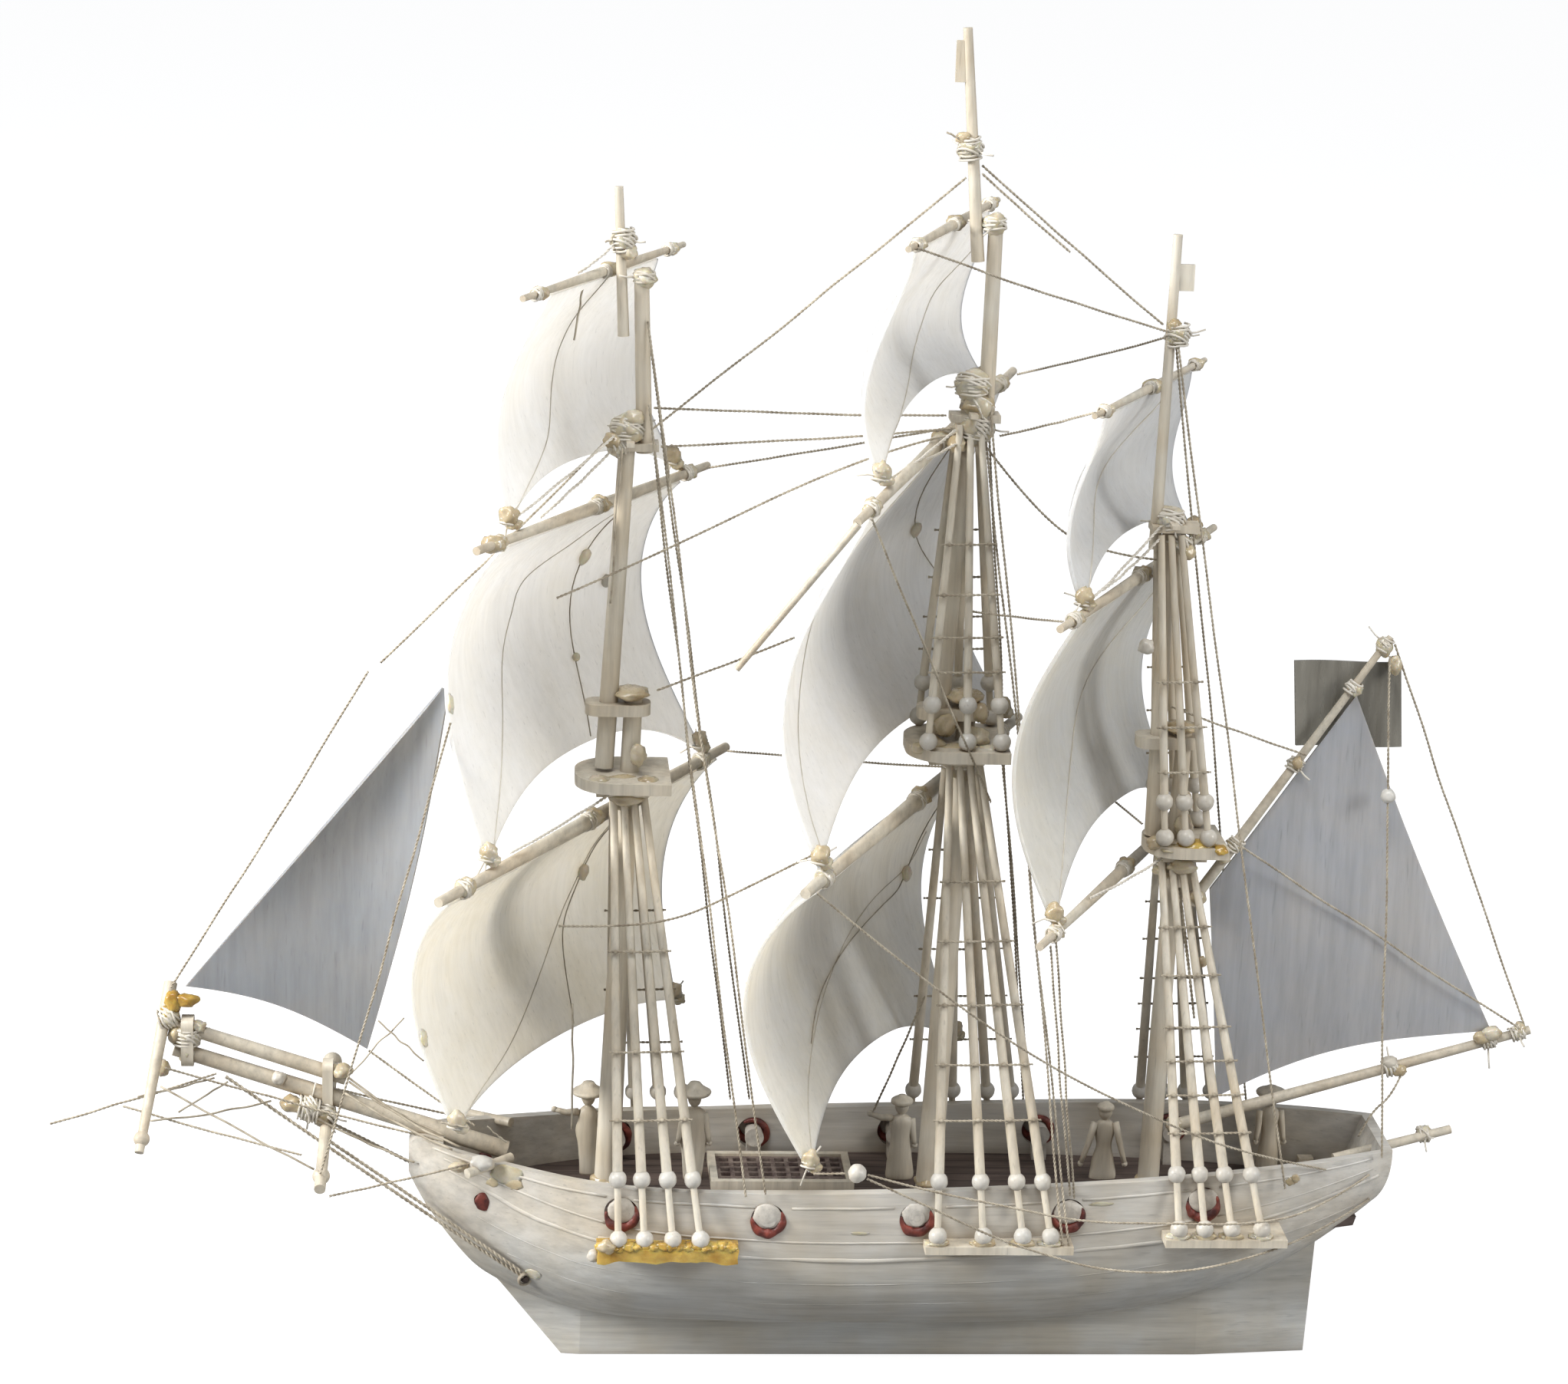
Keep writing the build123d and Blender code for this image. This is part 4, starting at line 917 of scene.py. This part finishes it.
# whippings on the ship: place, along, radius, turns
SHIP_WHIPPINGS = (
    ((-45.3, 0, 150.7), (-0.05, 0, 1), 1.45, 6), ((-42.5, 0, 146), (0, 0, 1), 1.35, 3),
    ((-44.2, 0, 126.4), (0, 0, 1), 2.15, 5), ((-45.3, -0.3, 124.6), (1, 0.2, 0.4), 1.6, 4),
    ((-1.8, 0, 163.2), (-0.08, 0, 1), 1.4, 6), ((1.7, 0, 153.8), (0, 0, 1), 1.5, 3),
    ((-0.1, 0, 133), (0, 0, 1), 2.2, 5), ((0.3, 0, 127.6), (0.2, 0, 1), 2.35, 6),
    ((0.6, -0.2, 130.4), (1, 0.3, 0.5), 2.1, 3), ((26, 0, 140), (0, 0, 1), 1.4, 6),
    ((26.4, 0, 115.8), (0, 0, 1), 1.8, 5), ((27.6, -0.3, 112.9), (0.6, 0.2, 0.8), 1.5, 4),
    ((-100.5, 0, 43.9), (0.1, 0, 1), 1.75, 5), ((-102.9, 0, 46.4), (1, 0, 0.35), 1.45, 5),
    ((-84.4, -1.2, 34.2), (1, 0, -0.25), 1.6, 6), ((-82.3, -1, 33.4), (0, 1, 0.25), 1.4, 5),
    ((-43.2, 0, 78.2), (0, 0, 1), 2.4, 4), ((0.6, 0, 83.2), (0, 0, 1), 2.5, 4),
    ((29.3, 0, 70), (0, 0, 1), 2.1, 4), ((66.2, 0, 31), (1, 0, 0.1), 1.1, 3),
)
# sails whose clews are glued with the darker glue
DARK_CLEWS = ("fore_topgallant", "main_topsail", "mizzen_topgallant", "mizzen_topsail")


def dress_yards():
    """Glue and whippings where yards, clews and braces are made fast."""
    for name in SAILS:
        body = yards_of(name)
        for u in (-0.985, 0.985):
            clew = sail_point(name, u, 0.985)
            spot = clew / MM
            kind = "tan" if name in DARK_CLEWS else "glue"
            dab(kind, body, spot + Vector((0.1, -0.2, 0.6)), (1.15, 0.95, 1.35), 0.32)
            dab("glue", body, spot + Vector((0.7, 0.1, -0.5)), (1.0, 0.9, 0.8), 0.32)
            line = helix(clew, Vector((0.3, 0.2, 1)), 0.95 * MM, 3, 0.5 * MM)
            twine(body, line, 0.3)
            for k in (0, 1):
                lean = noise.noise_vector(clew * 400 + Vector((k * 7.7, 1.1, 0))).normalized()
                tip = clew + lean * 2.9 * MM + Vector((0, 0, -0.3 * MM))
                twine(body, [clew, clew + lean * 1.5 * MM, tip], 0.24)
    for name, (_, _, half, _, _, _, dia) in YARDS.items():
        body = yards_of(name)
        way = (yard_point(name, 1.0) - yard_point(name, -1.0)).normalized()
        for share in (-0.84, -0.02, 0.80):
            place = yard_point(name, half * share) / MM
            whipping(body, place, way, dia * 0.5 + 0.1, 3, 0)
            dab("glue", body, place + way * 0.8, (1.1, dia * 0.5 + 0.05, dia * 0.5 + 0.22), 0.36)
        head = yard_point(name, 0.0, 0.2) / MM
        dab("tan", body, head + way * 1.2, (1.3, 1.1, dia * 0.5 + 0.3), 0.35)
    dab("tan", "fore_yards", yard_point("fore_topsail", -26.6, 0.2) / MM, (1.5, 1.0, 1.1), 0.3)


def sail_threads():
    """Threads and blocks glued on the sails."""
    for lines, lift, kind, dia in ((SAIL_LINES, 0.06, "seam", 0.13), (SAIL_DROPS, 0.30, "twine", 0.18)):
        for name, route in lines.items():
            line = [on_sail(name, u, v, lift * MM)[0] for u, v in curve_through(route, 9)]
            twine(yards_of(name), line, dia, kind)
    for name, u, v, wide, tall, kind in SAIL_BLOCKS:
        place, out = on_sail(name, u, v, 0.5 * MM)
        rough, level = BLOCK_CUT[kind]
        pot(kind, yards_of(name)).add(*lump(place, (wide, 0.6, tall), u * 30 + v * 11, rough, level, facing(out)))
    # old repairs on the edge of the fore topsail and fore course
    for name, u, v in (("fore_topsail", -0.97, 0.52), ("fore_course", -0.97, 0.62)):
        place, out = on_sail(name, u, v, 0.05 * MM)
        pot("wax", "fore_yards").add(*lump(place, (0.9, 0.3, 1.3), v * 40, 0.3, 3, facing(out)))


# ---------------------------------------------------------------- hull
# ridges along the side: (x, z) run, thickness
RIDGES = (
    ([(-66, 27.6), (-60, 25.2), (-54.6, 22.9), (-45.7, 20.9), (-34, 19.7), (-14.3, 19.3), (-2.7, 19.5),
      (16.2, 20.5), (30, 21.7), (43, 24), (53, 26.6), (58.5, 28.2)], 0.42),
    ([(-66.5, 28.9), (-60, 27.2), (-52, 25), (-45, 23.6), (-34, 22.3), (-14.3, 21.8), (0, 22),
      (16.2, 22.8), (30, 24), (43, 26), (57.5, 29.2)], 0.20),
    ([(-68, 30), (-60, 28.8), (-50, 27.6), (-34, 26.8), (-14.3, 26.6), (6, 27.1), (26, 28.2),
      (43, 29.3), (57.5, 30.6)], 0.24),
    ([(-62, 21.6), (-54.6, 18.9), (-45.7, 17), (-30, 15.9), (-10, 15.7), (10, 16.3), (28, 18),
      (44, 21), (55, 24.2)], 0.12),
    ([(-58, 17), (-48, 14.2), (-34, 12.7), (-14, 12.3), (8, 12.9), (26, 14.6), (42, 18),
      (52, 21.2)], 0.10),
)


# clear of the widest part of the hull
BEYOND = 40 * MM


def hull_side(x, z, side):
    """Point on the hull's outside at a place along and a height, or nothing."""
    start = Vector((x * MM, side * BEYOND, z * MM))
    hit = surface("hull").ray_cast(start, Vector((0, -side, 0)))
    return (hit[0], hit[1]) if hit[0] is not None else None


def hull_ridges():
    """Carved ridges following the side."""
    shape = Shape()
    for side in (-1, 1):
        for route, thick in RIDGES:
            run = []
            for x, z in curve_through(route, 9):
                found = hull_side(x, z, side)
                if found is None or abs(found[0].y) < 1.5 * MM:
                    if len(run) > 3:
                        shape.add(*tube(run, thick * MM, 8))
                    run = []
                    continue
                wander = noise.noise(Vector((x * 0.22, side * 3.0, z))) * 0.10
                run.append(found[0] + Vector((0, 0, wander * MM)) - found[1] * thick * 0.45 * MM)
            if len(run) > 3:
                sizes = [thick * MM * (0.85 + 0.25 * noise.noise(p * 130)) for p in run]
                shape.add(*tube(run, sizes, 8))
    shape.piece("hull_ridges", HULL, "ship", "hull_bone")


HAWSE_HEIGHT = 3.2 * MM
RING_STEPS = 44
RING_RADIUS = 2.04


def port_rings():
    """Red wax round each gun port, thick below, and round the hawse holes."""
    red = Shape()
    plugs = Shape()
    for points in islands("gunport_rings"):
        centre = middle(points)
        size = span(points)
        side = 1 if centre.y > 0 else -1
        outer = max(points, key=lambda p: p.y * side).y
        inner = min(points, key=lambda p: p.y * side).y
        if size.z < HAWSE_HEIGHT:
            for face in (outer, inner):
                place = Vector((centre.x, face - side * 0.25 * MM, centre.z))
                red.add(*lump(place, (1.15, 0.5, 1.25), centre.x * 300, 0.16))
            continue
        for face, low, lean in ((outer, 0.56, 0.20), (inner, 0.34, 1.9)):
            line, sizes = [], []
            for k in range(RING_STEPS + 1):
                angle = lean + math.pi * (0.88 + 1.24 * k / RING_STEPS)
                swell = math.sin(math.pi * k / RING_STEPS)
                radius = (RING_RADIUS - 0.22 * swell) * MM
                place = Vector((centre.x + math.cos(angle) * radius, 0, centre.z + math.sin(angle) * radius))
                found = hull_side(place.x / MM, place.z / MM, side) if face == outer else None
                place.y = (found[0].y if found and abs(found[0].y - face) < 1.4 * MM else face) - side * 0.18 * MM
                shake = noise.noise(place * 1100 + Vector((centre.x * 90, 0, 0)))
                line.append(place)
                sizes.append((0.14 + low * swell ** 0.7) * (1 + 0.35 * shake) * MM)
            red.add(*tube(line, sizes, 10))
        muzzle = Vector((centre.x, outer - side * 0.15 * MM, centre.z + 0.50 * MM))
        plugs.add(*lump(muzzle, (1.95, 0.50, 1.75), centre.x * 500, 0.16))
    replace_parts(red.piece("gunport_wax", RED, "ship", "red_wax"), "gunport_rings")
    plugs.piece("gun_muzzles", GUN, "ship", "bone")


def beads():
    """Deadeyes as small shell beads, no two quite alike."""
    shape = Shape()
    for points in islands("deadeyes"):
        centre = middle(points)
        seed = centre.x * 700 + centre.y * 130 + centre.z * 310
        wide = 1.17 * (1 + 0.07 * noise.noise(Vector((seed, 0, 0))))
        tall = 1.22 * (1 + 0.10 * noise.noise(Vector((0, seed, 0))))
        shape.add(*lump(centre, (wide, wide, tall), seed, 0.05))
    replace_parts(shape.piece("deadeye_beads", BEAD, "ship", "bone"), "deadeyes")


# both ends along the ship, outer edge, bottom and top of each channel
CHANNELS = {
    "fore": (-46.2, -28.4, 19.2, 20.3, 21.7), "main": (-3.6, 15.9, 19.6, 21.4, 22.5),
    "mizzen": (28.2, 44.4, 18.7, 22.1, 23.2),
}
# where the lower deadeyes stand along each
LOWER_EYES = {
    "fore": (-43.7, -40.3, -36.6, -33), "main": (-2, 4, 9.2, 12.9), "mizzen": (30, 33.4, 37, 41),
}


CRUST_ROUGH = 0.35
CRUST_CUTS = (26, 8, 6)


def crust(low, high):
    """Lumpy coat over a plank: a divided box pushed about by noise."""
    low, high = mm(*low), mm(*high)
    shape = Shape()
    size = high - low
    for axis in range(3):
        u, v = (axis + 1) % 3, (axis + 2) % 3
        nu, nv = CRUST_CUTS[u], CRUST_CUTS[v]
        for end in (0, 1):
            grid = []
            for i in range(nu + 1):
                for j in range(nv + 1):
                    point = low.copy()
                    point[axis] += size[axis] * end
                    point[u] += size[u] * i / nu
                    point[v] += size[v] * j / nv
                    coarse = noise.noise_vector(point * 420 + Vector((3, 0, 0)))
                    fine = noise.noise_vector(point * 1300)
                    grid.append(point + coarse * CRUST_ROUGH * MM + fine * CRUST_ROUGH * 0.4 * MM)
            faces = []
            for i in range(nu):
                for j in range(nv):
                    a = i * (nv + 1) + j
                    face = (a, a + nv + 1, a + nv + 2, a + 1)
                    faces.append(face if end else face[::-1])
            shape.add(grid, faces)
    return shape.vertices, shape.faces


GOLDEN_DROPS = 16


def channel_glue():
    """Golden glue all over the port fore channel, tan dabs under the other beads."""
    x0, x1, out, z0, z1 = CHANNELS["fore"]
    pot("amber", "ship").add(*crust((x0 - 0.2, -out - 0.25, z0 - 0.2), (x1 + 0.3, -out + 3.4, z1 + 0.25)))
    for k in range(GOLDEN_DROPS):
        share = (k + 0.5) / GOLDEN_DROPS
        x = x0 + (x1 - x0) * share
        swell = noise.noise(Vector((k * 3.3, 1.0, 0)))
        size = (1.1 + 0.4 * swell, 1.0, 0.75 + 0.5 * swell)
        dab("amber", "ship", (x, -out + 0.7 + 0.4 * swell, z1 + 0.25), size, 0.35)
    dab("tan", "ship", (x0 + 1.0, -out + 0.2, z1 + 0.4), (1.2, 0.9, 1.0), 0.35)
    dab("pearl", "ship", (x0 - 0.6, -out + 0.8, z1 - 1.0), (0.9, 0.7, 0.9), 0.2)
    for name, (x0, x1, out, z0, z1) in CHANNELS.items():
        for side in (-1, 1):
            for number, x in enumerate(LOWER_EYES[name]):
                if name == "fore" and side < 0:
                    continue
                spread = 0.25 * noise.noise(Vector((x, side, 2.0)))
                kind = "tan" if number in (1, 2) else "glue"
                dab(kind, "ship", (x + 0.2, side * (out - 0.9), z1 + 0.25), (1.35 + spread, 0.95, 0.62), 0.3)
                dab("glue", "ship", (x - 0.9, side * (out - 1.2), z1 + 0.1), (0.8, 0.8, 0.4 + spread), 0.3)


# ---------------------------------------------------------------- crew
# place x, y, height, hat width, hat height, shoulder half width, coat: straight, flared or spindle
CREW = {
    "bow": (-47.2, 6.8, 13, 4.4, 2, 1.35, "spindle"), "foredeck": (-32.9, 5, 13.8, 4.4, 2, 1.7, "spindle"),
    "waist": (-4.6, 5.8, 12.2, 3, 0.9, 1.6, "block"), "quarter": (23.4, 6, 11.3, 2.3, 0.8, 1.45, "flared"),
    "stern": (46.6, 8, 13, 4.2, 1, 1.3, "block"),
}
# rings of each coat: share of the height, half widths
COATS = {
    "spindle": ((0, 0.75, 0.75), (0.10, 0.80, 0.75), (0.30, 0.95, 0.85), (0.48, 1.2, 0.95), (0.60, 1, 1),
                (0.68, 1, 0.95)),
    "block": ((0, 1.15, 0.95), (0.06, 1.2, 1), (0.25, 1.05, 0.9), (0.45, 0.85, 0.8), (0.56, 0.95, 0.9),
              (0.68, 1, 0.95)),
    "flared": ((0, 1.25, 0.75), (0.05, 1.25, 0.75), (0.25, 1.05, 0.75), (0.42, 0.72, 0.7), (0.56, 0.9, 0.8),
               (0.68, 0.95, 0.8)),
}
# shoulder and hand of each arm, from the middle of the feet
ARMS = {
    "bow": [((-1.4, -0.2, 9), (-4.6, -0.8, 9.6)), ((1.4, 0, 9), (2, 0, 5.2))],
    "foredeck": [((-1.4, 0, 9.6), (-2.2, -0.6, 5.4)), ((1.4, 0, 9.6), (2.1, -0.4, 5.4))],
    "waist": [((-1.4, -0.2, 8.8), (-4.4, -0.8, 9.6)), ((1.4, 0, 8.6), (1.9, -0.2, 4.8))],
    "quarter": [((-1.4, -0.2, 8.2), (-3.2, -0.8, 2.4)), ((1.4, -0.2, 8.2), (2.9, -0.8, 2.4))],
    "stern": [((-1.4, 0, 9.2), (-1.9, -0.4, 4.8)), ((1.4, 0, 9.2), (2, -0.4, 4.8))],
}
DECK_Z = 22.0


def turned(base, rings, sides, seed, cut=0.07):
    """Whittled post: oval rings (height, half x, half y) joined up, with knife marks."""
    vertices = []
    for z, rx, ry in rings:
        for k in range(sides):
            angle = 2 * math.pi * k / sides
            point = Vector((math.cos(angle) * rx, math.sin(angle) * ry, z))
            mark = 1 + cut * noise.noise(Vector((math.cos(angle) * 1.4 + seed, math.sin(angle) * 1.4, z * 0.5)))
            vertices.append((base + Vector((point.x * mark, point.y * mark, point.z))) * MM)
    return vertices, skin(vertices, sides)


def carve_crew():
    """Five whittled hands with plain round heads and their hats."""
    shape = Shape()
    for name, (x, y, height, brim, tall, chest, coat) in CREW.items():
        base = Vector((x, y, DECK_Z))
        body = [(h * height, rx * chest, ry * 1.05) for h, rx, ry in COATS[coat]]
        body += [(0.735 * height, 0.62 * chest, 0.72), (0.755 * height, 0.50, 0.50), (0.775 * height, 0.50, 0.50)]
        shape.add(*turned(base, curve_through(body, 3), 20, x))
        head = [(0.765 * height, 0.42, 0.42), (0.79 * height, 0.72, 0.72), (0.835 * height, 0.94, 0.92),
                (0.88 * height, 0.90, 0.88), (0.91 * height, 0.66, 0.66)]
        shape.add(*turned(base, curve_through(head, 3), 18, x + 3))
        rim = height * 0.90
        half = brim / 2
        hat = [(rim - 0.75, half * 0.42, half * 0.42), (rim - 0.35, half * 0.72, half * 0.70),
               (rim - 0.10, half * 0.98, half * 0.96), (rim + 0.30, half, half * 0.98),
               (rim + 0.55, half * 0.84, half * 0.82), (rim + 0.62 + tall * 0.2, half * 0.52, half * 0.50),
               (rim + 0.62 + tall * 0.45, half * 0.34, half * 0.32)]
        shape.add(*turned(base, curve_through(hat, 2), 22, x + 5, 0.05))
        for shoulder, hand in ARMS[name]:
            start = (base + Vector(shoulder)) * MM
            end = (base + Vector(hand)) * MM
            elbow = start.lerp(end, 0.5) + Vector((0, -0.25 * MM, -0.2 * MM))
            line = [start, start.lerp(elbow, 0.5), elbow, elbow.lerp(end, 0.5), end]
            shape.add(*tube(line, [0.52 * MM, 0.50 * MM, 0.44 * MM, 0.38 * MM, 0.34 * MM], 10))
            shape.add(*lump(end, (0.42, 0.38, 0.46), x + hand[0], 0.2, 2))
    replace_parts(shape.piece("crew_carved", BONE, "ship", "bone"), "crew")


# ---------------------------------------------------------------- knots, stays and the rest
SHORTEST_LEG = 12 * MM
CROSSING_GAP = 1.1 * MM
BOBSTAY_DIA = 0.52 * MM
LIFT_DIA = 0.42 * MM


def ratline_knots():
    """A turn of thread where each ratline crosses a shroud."""
    legs = []
    for node in ("lower_shrouds", "topmast_shrouds"):
        for points in islands(node):
            first, last, _ = ends(points)
            if (last - first).length > SHORTEST_LEG:
                legs.append((first, last))
    for points in islands("ratlines"):
        first, last, stray = ends(points)
        if stray > STRAY:
            continue
        for low, high in legs:
            near = intersect_line_line(first, last, low, high)
            if near is None or (near[0] - near[1]).length > CROSSING_GAP:
                continue
            share = (near[0] - first).dot(last - first) / (last - first).length_squared
            rise = (near[1] - low).dot(high - low) / (high - low).length_squared
            if -0.05 < share < 1.05 and 0 < rise < 1:
                pot("twine", "ship").add(*lump(near[0], (0.34, 0.34, 0.32), near[0].z * 900, 0.25, 1))


def bobstays():
    """Doubled, tightly twisted stays from the bowsprit down to the hull."""
    shape = Shape()
    for route in BOBSTAYS.values():
        shape.add(*ply(spline(route), BOBSTAY_DIA, 3.0, 7))
    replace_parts(shape.piece("bobstays_twisted", THREAD, "ship", "silk_thread"), "headstays")
    ring = Shape()
    for side in (-1, 1):
        centre = mm(-55.6, side * 9.25, 13.4)
        ring.add(*tube(helix(centre, Vector((0.35, side, -0.2)), 0.85 * MM, 2, 0.22 * MM), 0.2 * MM, 6))
    ring.piece("bobstay_grommets", THREAD, "ship", "silk_thread")


# drops on the gaff and boom, as on the ship
SPANKER_DABS = {
    "glue": (
        (74.2, -0.9, 45.9, 1.3, 1, 1), (78.2, 0, 46, 0.9, 1, 1.2), (57.4, -0.2, 96.8, 0.9, 0.9, 1.3),
        (55.8, 0, 99.2, 1.1, 0.9, 1.3), (52.4, -0.3, 93.4, 0.9, 0.8, 0.9), (36.2, -0.8, 70.2, 0.8, 0.8, 0.9),
        (33, -0.2, 64.6, 1.2, 1.1, 1.1), (31.8, 0, 32.2, 1.1, 1.3, 1.2),
    ),
    "tan": (
        (73, -0.7, 45.2, 1.2, 0.9, 0.9), (62, -0.6, 40.4, 1, 0.9, 0.8), (45.1, -0.8, 83.4, 0.7, 0.6, 0.9),
    ),
    "pearl": (
        (60.7, -0.2, 41.2, 1.2, 1.1, 1),
    ),
}
BOOM_WAY = (48.7, 0, 14.3)
GAFF_WAY = (24.4, 0, 37)
# whippings: place, along, radius
SPANKER_WHIPPINGS = (
    ((78, 0, 45.6), BOOM_WAY, 0.95), ((74, 0, 44.5), BOOM_WAY, 1.1), ((61, 0, 40.6), BOOM_WAY, 1.15),
    ((55.9, 0, 99.5), GAFF_WAY, 0.8), ((52, 0, 93.6), GAFF_WAY, 0.9), ((45, 0, 83), GAFF_WAY, 0.95),
    ((37.6, 0, 71.8), GAFF_WAY, 1),
)


def spanker_tackle():
    """Blocks and whippings on the gaff and boom."""
    dabs("spanker", SPANKER_DABS)
    for place, way, radius in SPANKER_WHIPPINGS:
        whipping("spanker", place, way, radius, 4, 1)


# loose and cut threads on each body: both ends, thickness, sag
LOOSE = {
    "ship": (
        ((-103.3, -9, 40.2), (-83.2, -13.6, 30.6), 0.30, 0.2), ((-104.4, -11, 36.2), (-89.4, -2, 35.6), 0.30, 0.3),
        ((-106.5, -6, 37.6), (-96.8, -2, 38.8), 0.28, 0.1), ((-101.4, -4, 34.7), (-95.1, -1, 37.9), 0.28, 0),
        ((-79.4, -1.5, 38.9), (-66.4, -5, 32), 0.32, 0.8), ((-79.2, -1.5, 38.2), (-64.4, -7, 31.2), 0.32, 0.6),
        ((-79.7, -1.6, 36.6), (-65.4, -7, 30.8), 0.32, 0.3), ((-78.7, -1, 39.4), (-72, -1, 47), 0.22, 0),
        ((-75.4, -1, 46.6), (-69.3, -3, 41.7), 0.24, 0), ((-84, -2.6, 33.8), (-70.4, -3, 27.4), 0.32, 0.3),
        ((-44.9, -1.9, 124.4), (-46, -1.9, 104), 0.30, 0), ((-2.9, -0.9, 164.4), (-5, -0.9, 165.4), 0.26, 0),
        ((-45.8, -0.9, 151.6), (-47.6, -1.2, 150.6), 0.26, 0),
    ),
    "fore_yards": (
        ((-50.1, -2.2, 146.6), (-51.4, -6, 138.9), 0.26, 0.1), ((-50, -9, 52), (-49.8, -9.6, 34.8), 0.28, 0),
        ((-60.9, -20.6, 39.4), (-58.4, -20, 37), 0.26, 0), ((-63.4, -22.6, 40), (-66.8, -22.8, 40.8), 0.26, 0),
    ),
}
# twisted lifts from the mastheads out to the yards: mast, masthead end, yard end
LIFTS = (
    ("fore", (-46, -2, 125.9), (-59, -13.2, 117.2)), ("fore", (-46.5, -2, 123.8), (-55.2, -9, 116.8)),
    ("fore", (-46.4, -0.8, 150.4), (-51, -4.6, 147.2)), ("fore", (-44.6, 1, 150.4), (-43.4, 9.6, 147.2)),
    ("main", (-2.4, -2.2, 127.6), (-11.4, -12.6, 123.4)), ("main", (-2.2, -2.2, 125.8), (-9, -8.6, 124.2)),
    ("mizzen", (25, -1.8, 115.4), (14.8, -11.6, 107.8)), ("mizzen", (25, -1.8, 113.8), (16.8, -8, 108.2)),
    ("fore", (-44.8, -2.4, 79), (-58.4, -15.8, 74.6)), ("mizzen", (28.4, -2, 71), (16.6, -13, 68.4)),
)


def extra_threads():
    """Cut ends, and the lifts, whose inner ends stay with the mast."""
    for body, threads in LOOSE.items():
        for first, last, dia, sag in threads:
            twine(body, sagged(mm(*first), mm(*last), sag * MM, 0.3 * MM), dia, "twine")
    for number, (mast, first, last) in enumerate(LIFTS):
        line = sagged(mm(*first), mm(*last), 0.3 * MM, 0.2 * MM)
        piece = add_piece(f"lift_{number + 1}", *ply(line, LIFT_DIA), SEAM, None, "silk_thread")
        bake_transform(piece)


STUFFS = {
    "glue": (GLUE, "bone"), "wax": (WAX, "bone"), "tan": (TAN, "bone"), "amber": (AMBER, "bone"),
    "pearl": (BEAD, "bone"), "twine": (THREAD, "silk_thread"), "seam": (SEAM, "silk_thread"),
    "pitch": (HOLE_SHADE, "deck_brown"),
}


def finish_pots():
    """One piece for each kind of stuff on each body."""
    for (kind, body), shape in POTS.items():
        material, slot = STUFFS[kind]
        shape.piece(f"{kind}_{body}", material, body, slot)


def ship_details():
    """Glue, stains and whippings on the ship itself."""
    dabs("ship", SHIP_DABS)
    for place, size, kind in SMEARS:
        spot, out, _, _ = surface("hull").find_nearest(mm(*place))
        pot(kind, "ship").add(*lump(spot, size, place[0] * 3, 0.3, 3, facing(out)))
    for place, axis, radius, turns in SHIP_WHIPPINGS:
        whipping("ship", place, axis, radius, turns)


# ---------------------------------------------------------------- the ship
make_camera()
make_stage()
free_cords()
dress_nodes()
for rig in ("backstays", "crosslines", "headstays", "ratlines", "spanker_halyard", *SWINGING):
    rigging(rig)
bobstays()
hull_ridges()
port_rings()
beads()
channel_glue()
carve_crew()
dress_yards()
sail_threads()
ship_details()
ratline_knots()
spanker_tackle()
extra_threads()
finish_pots()
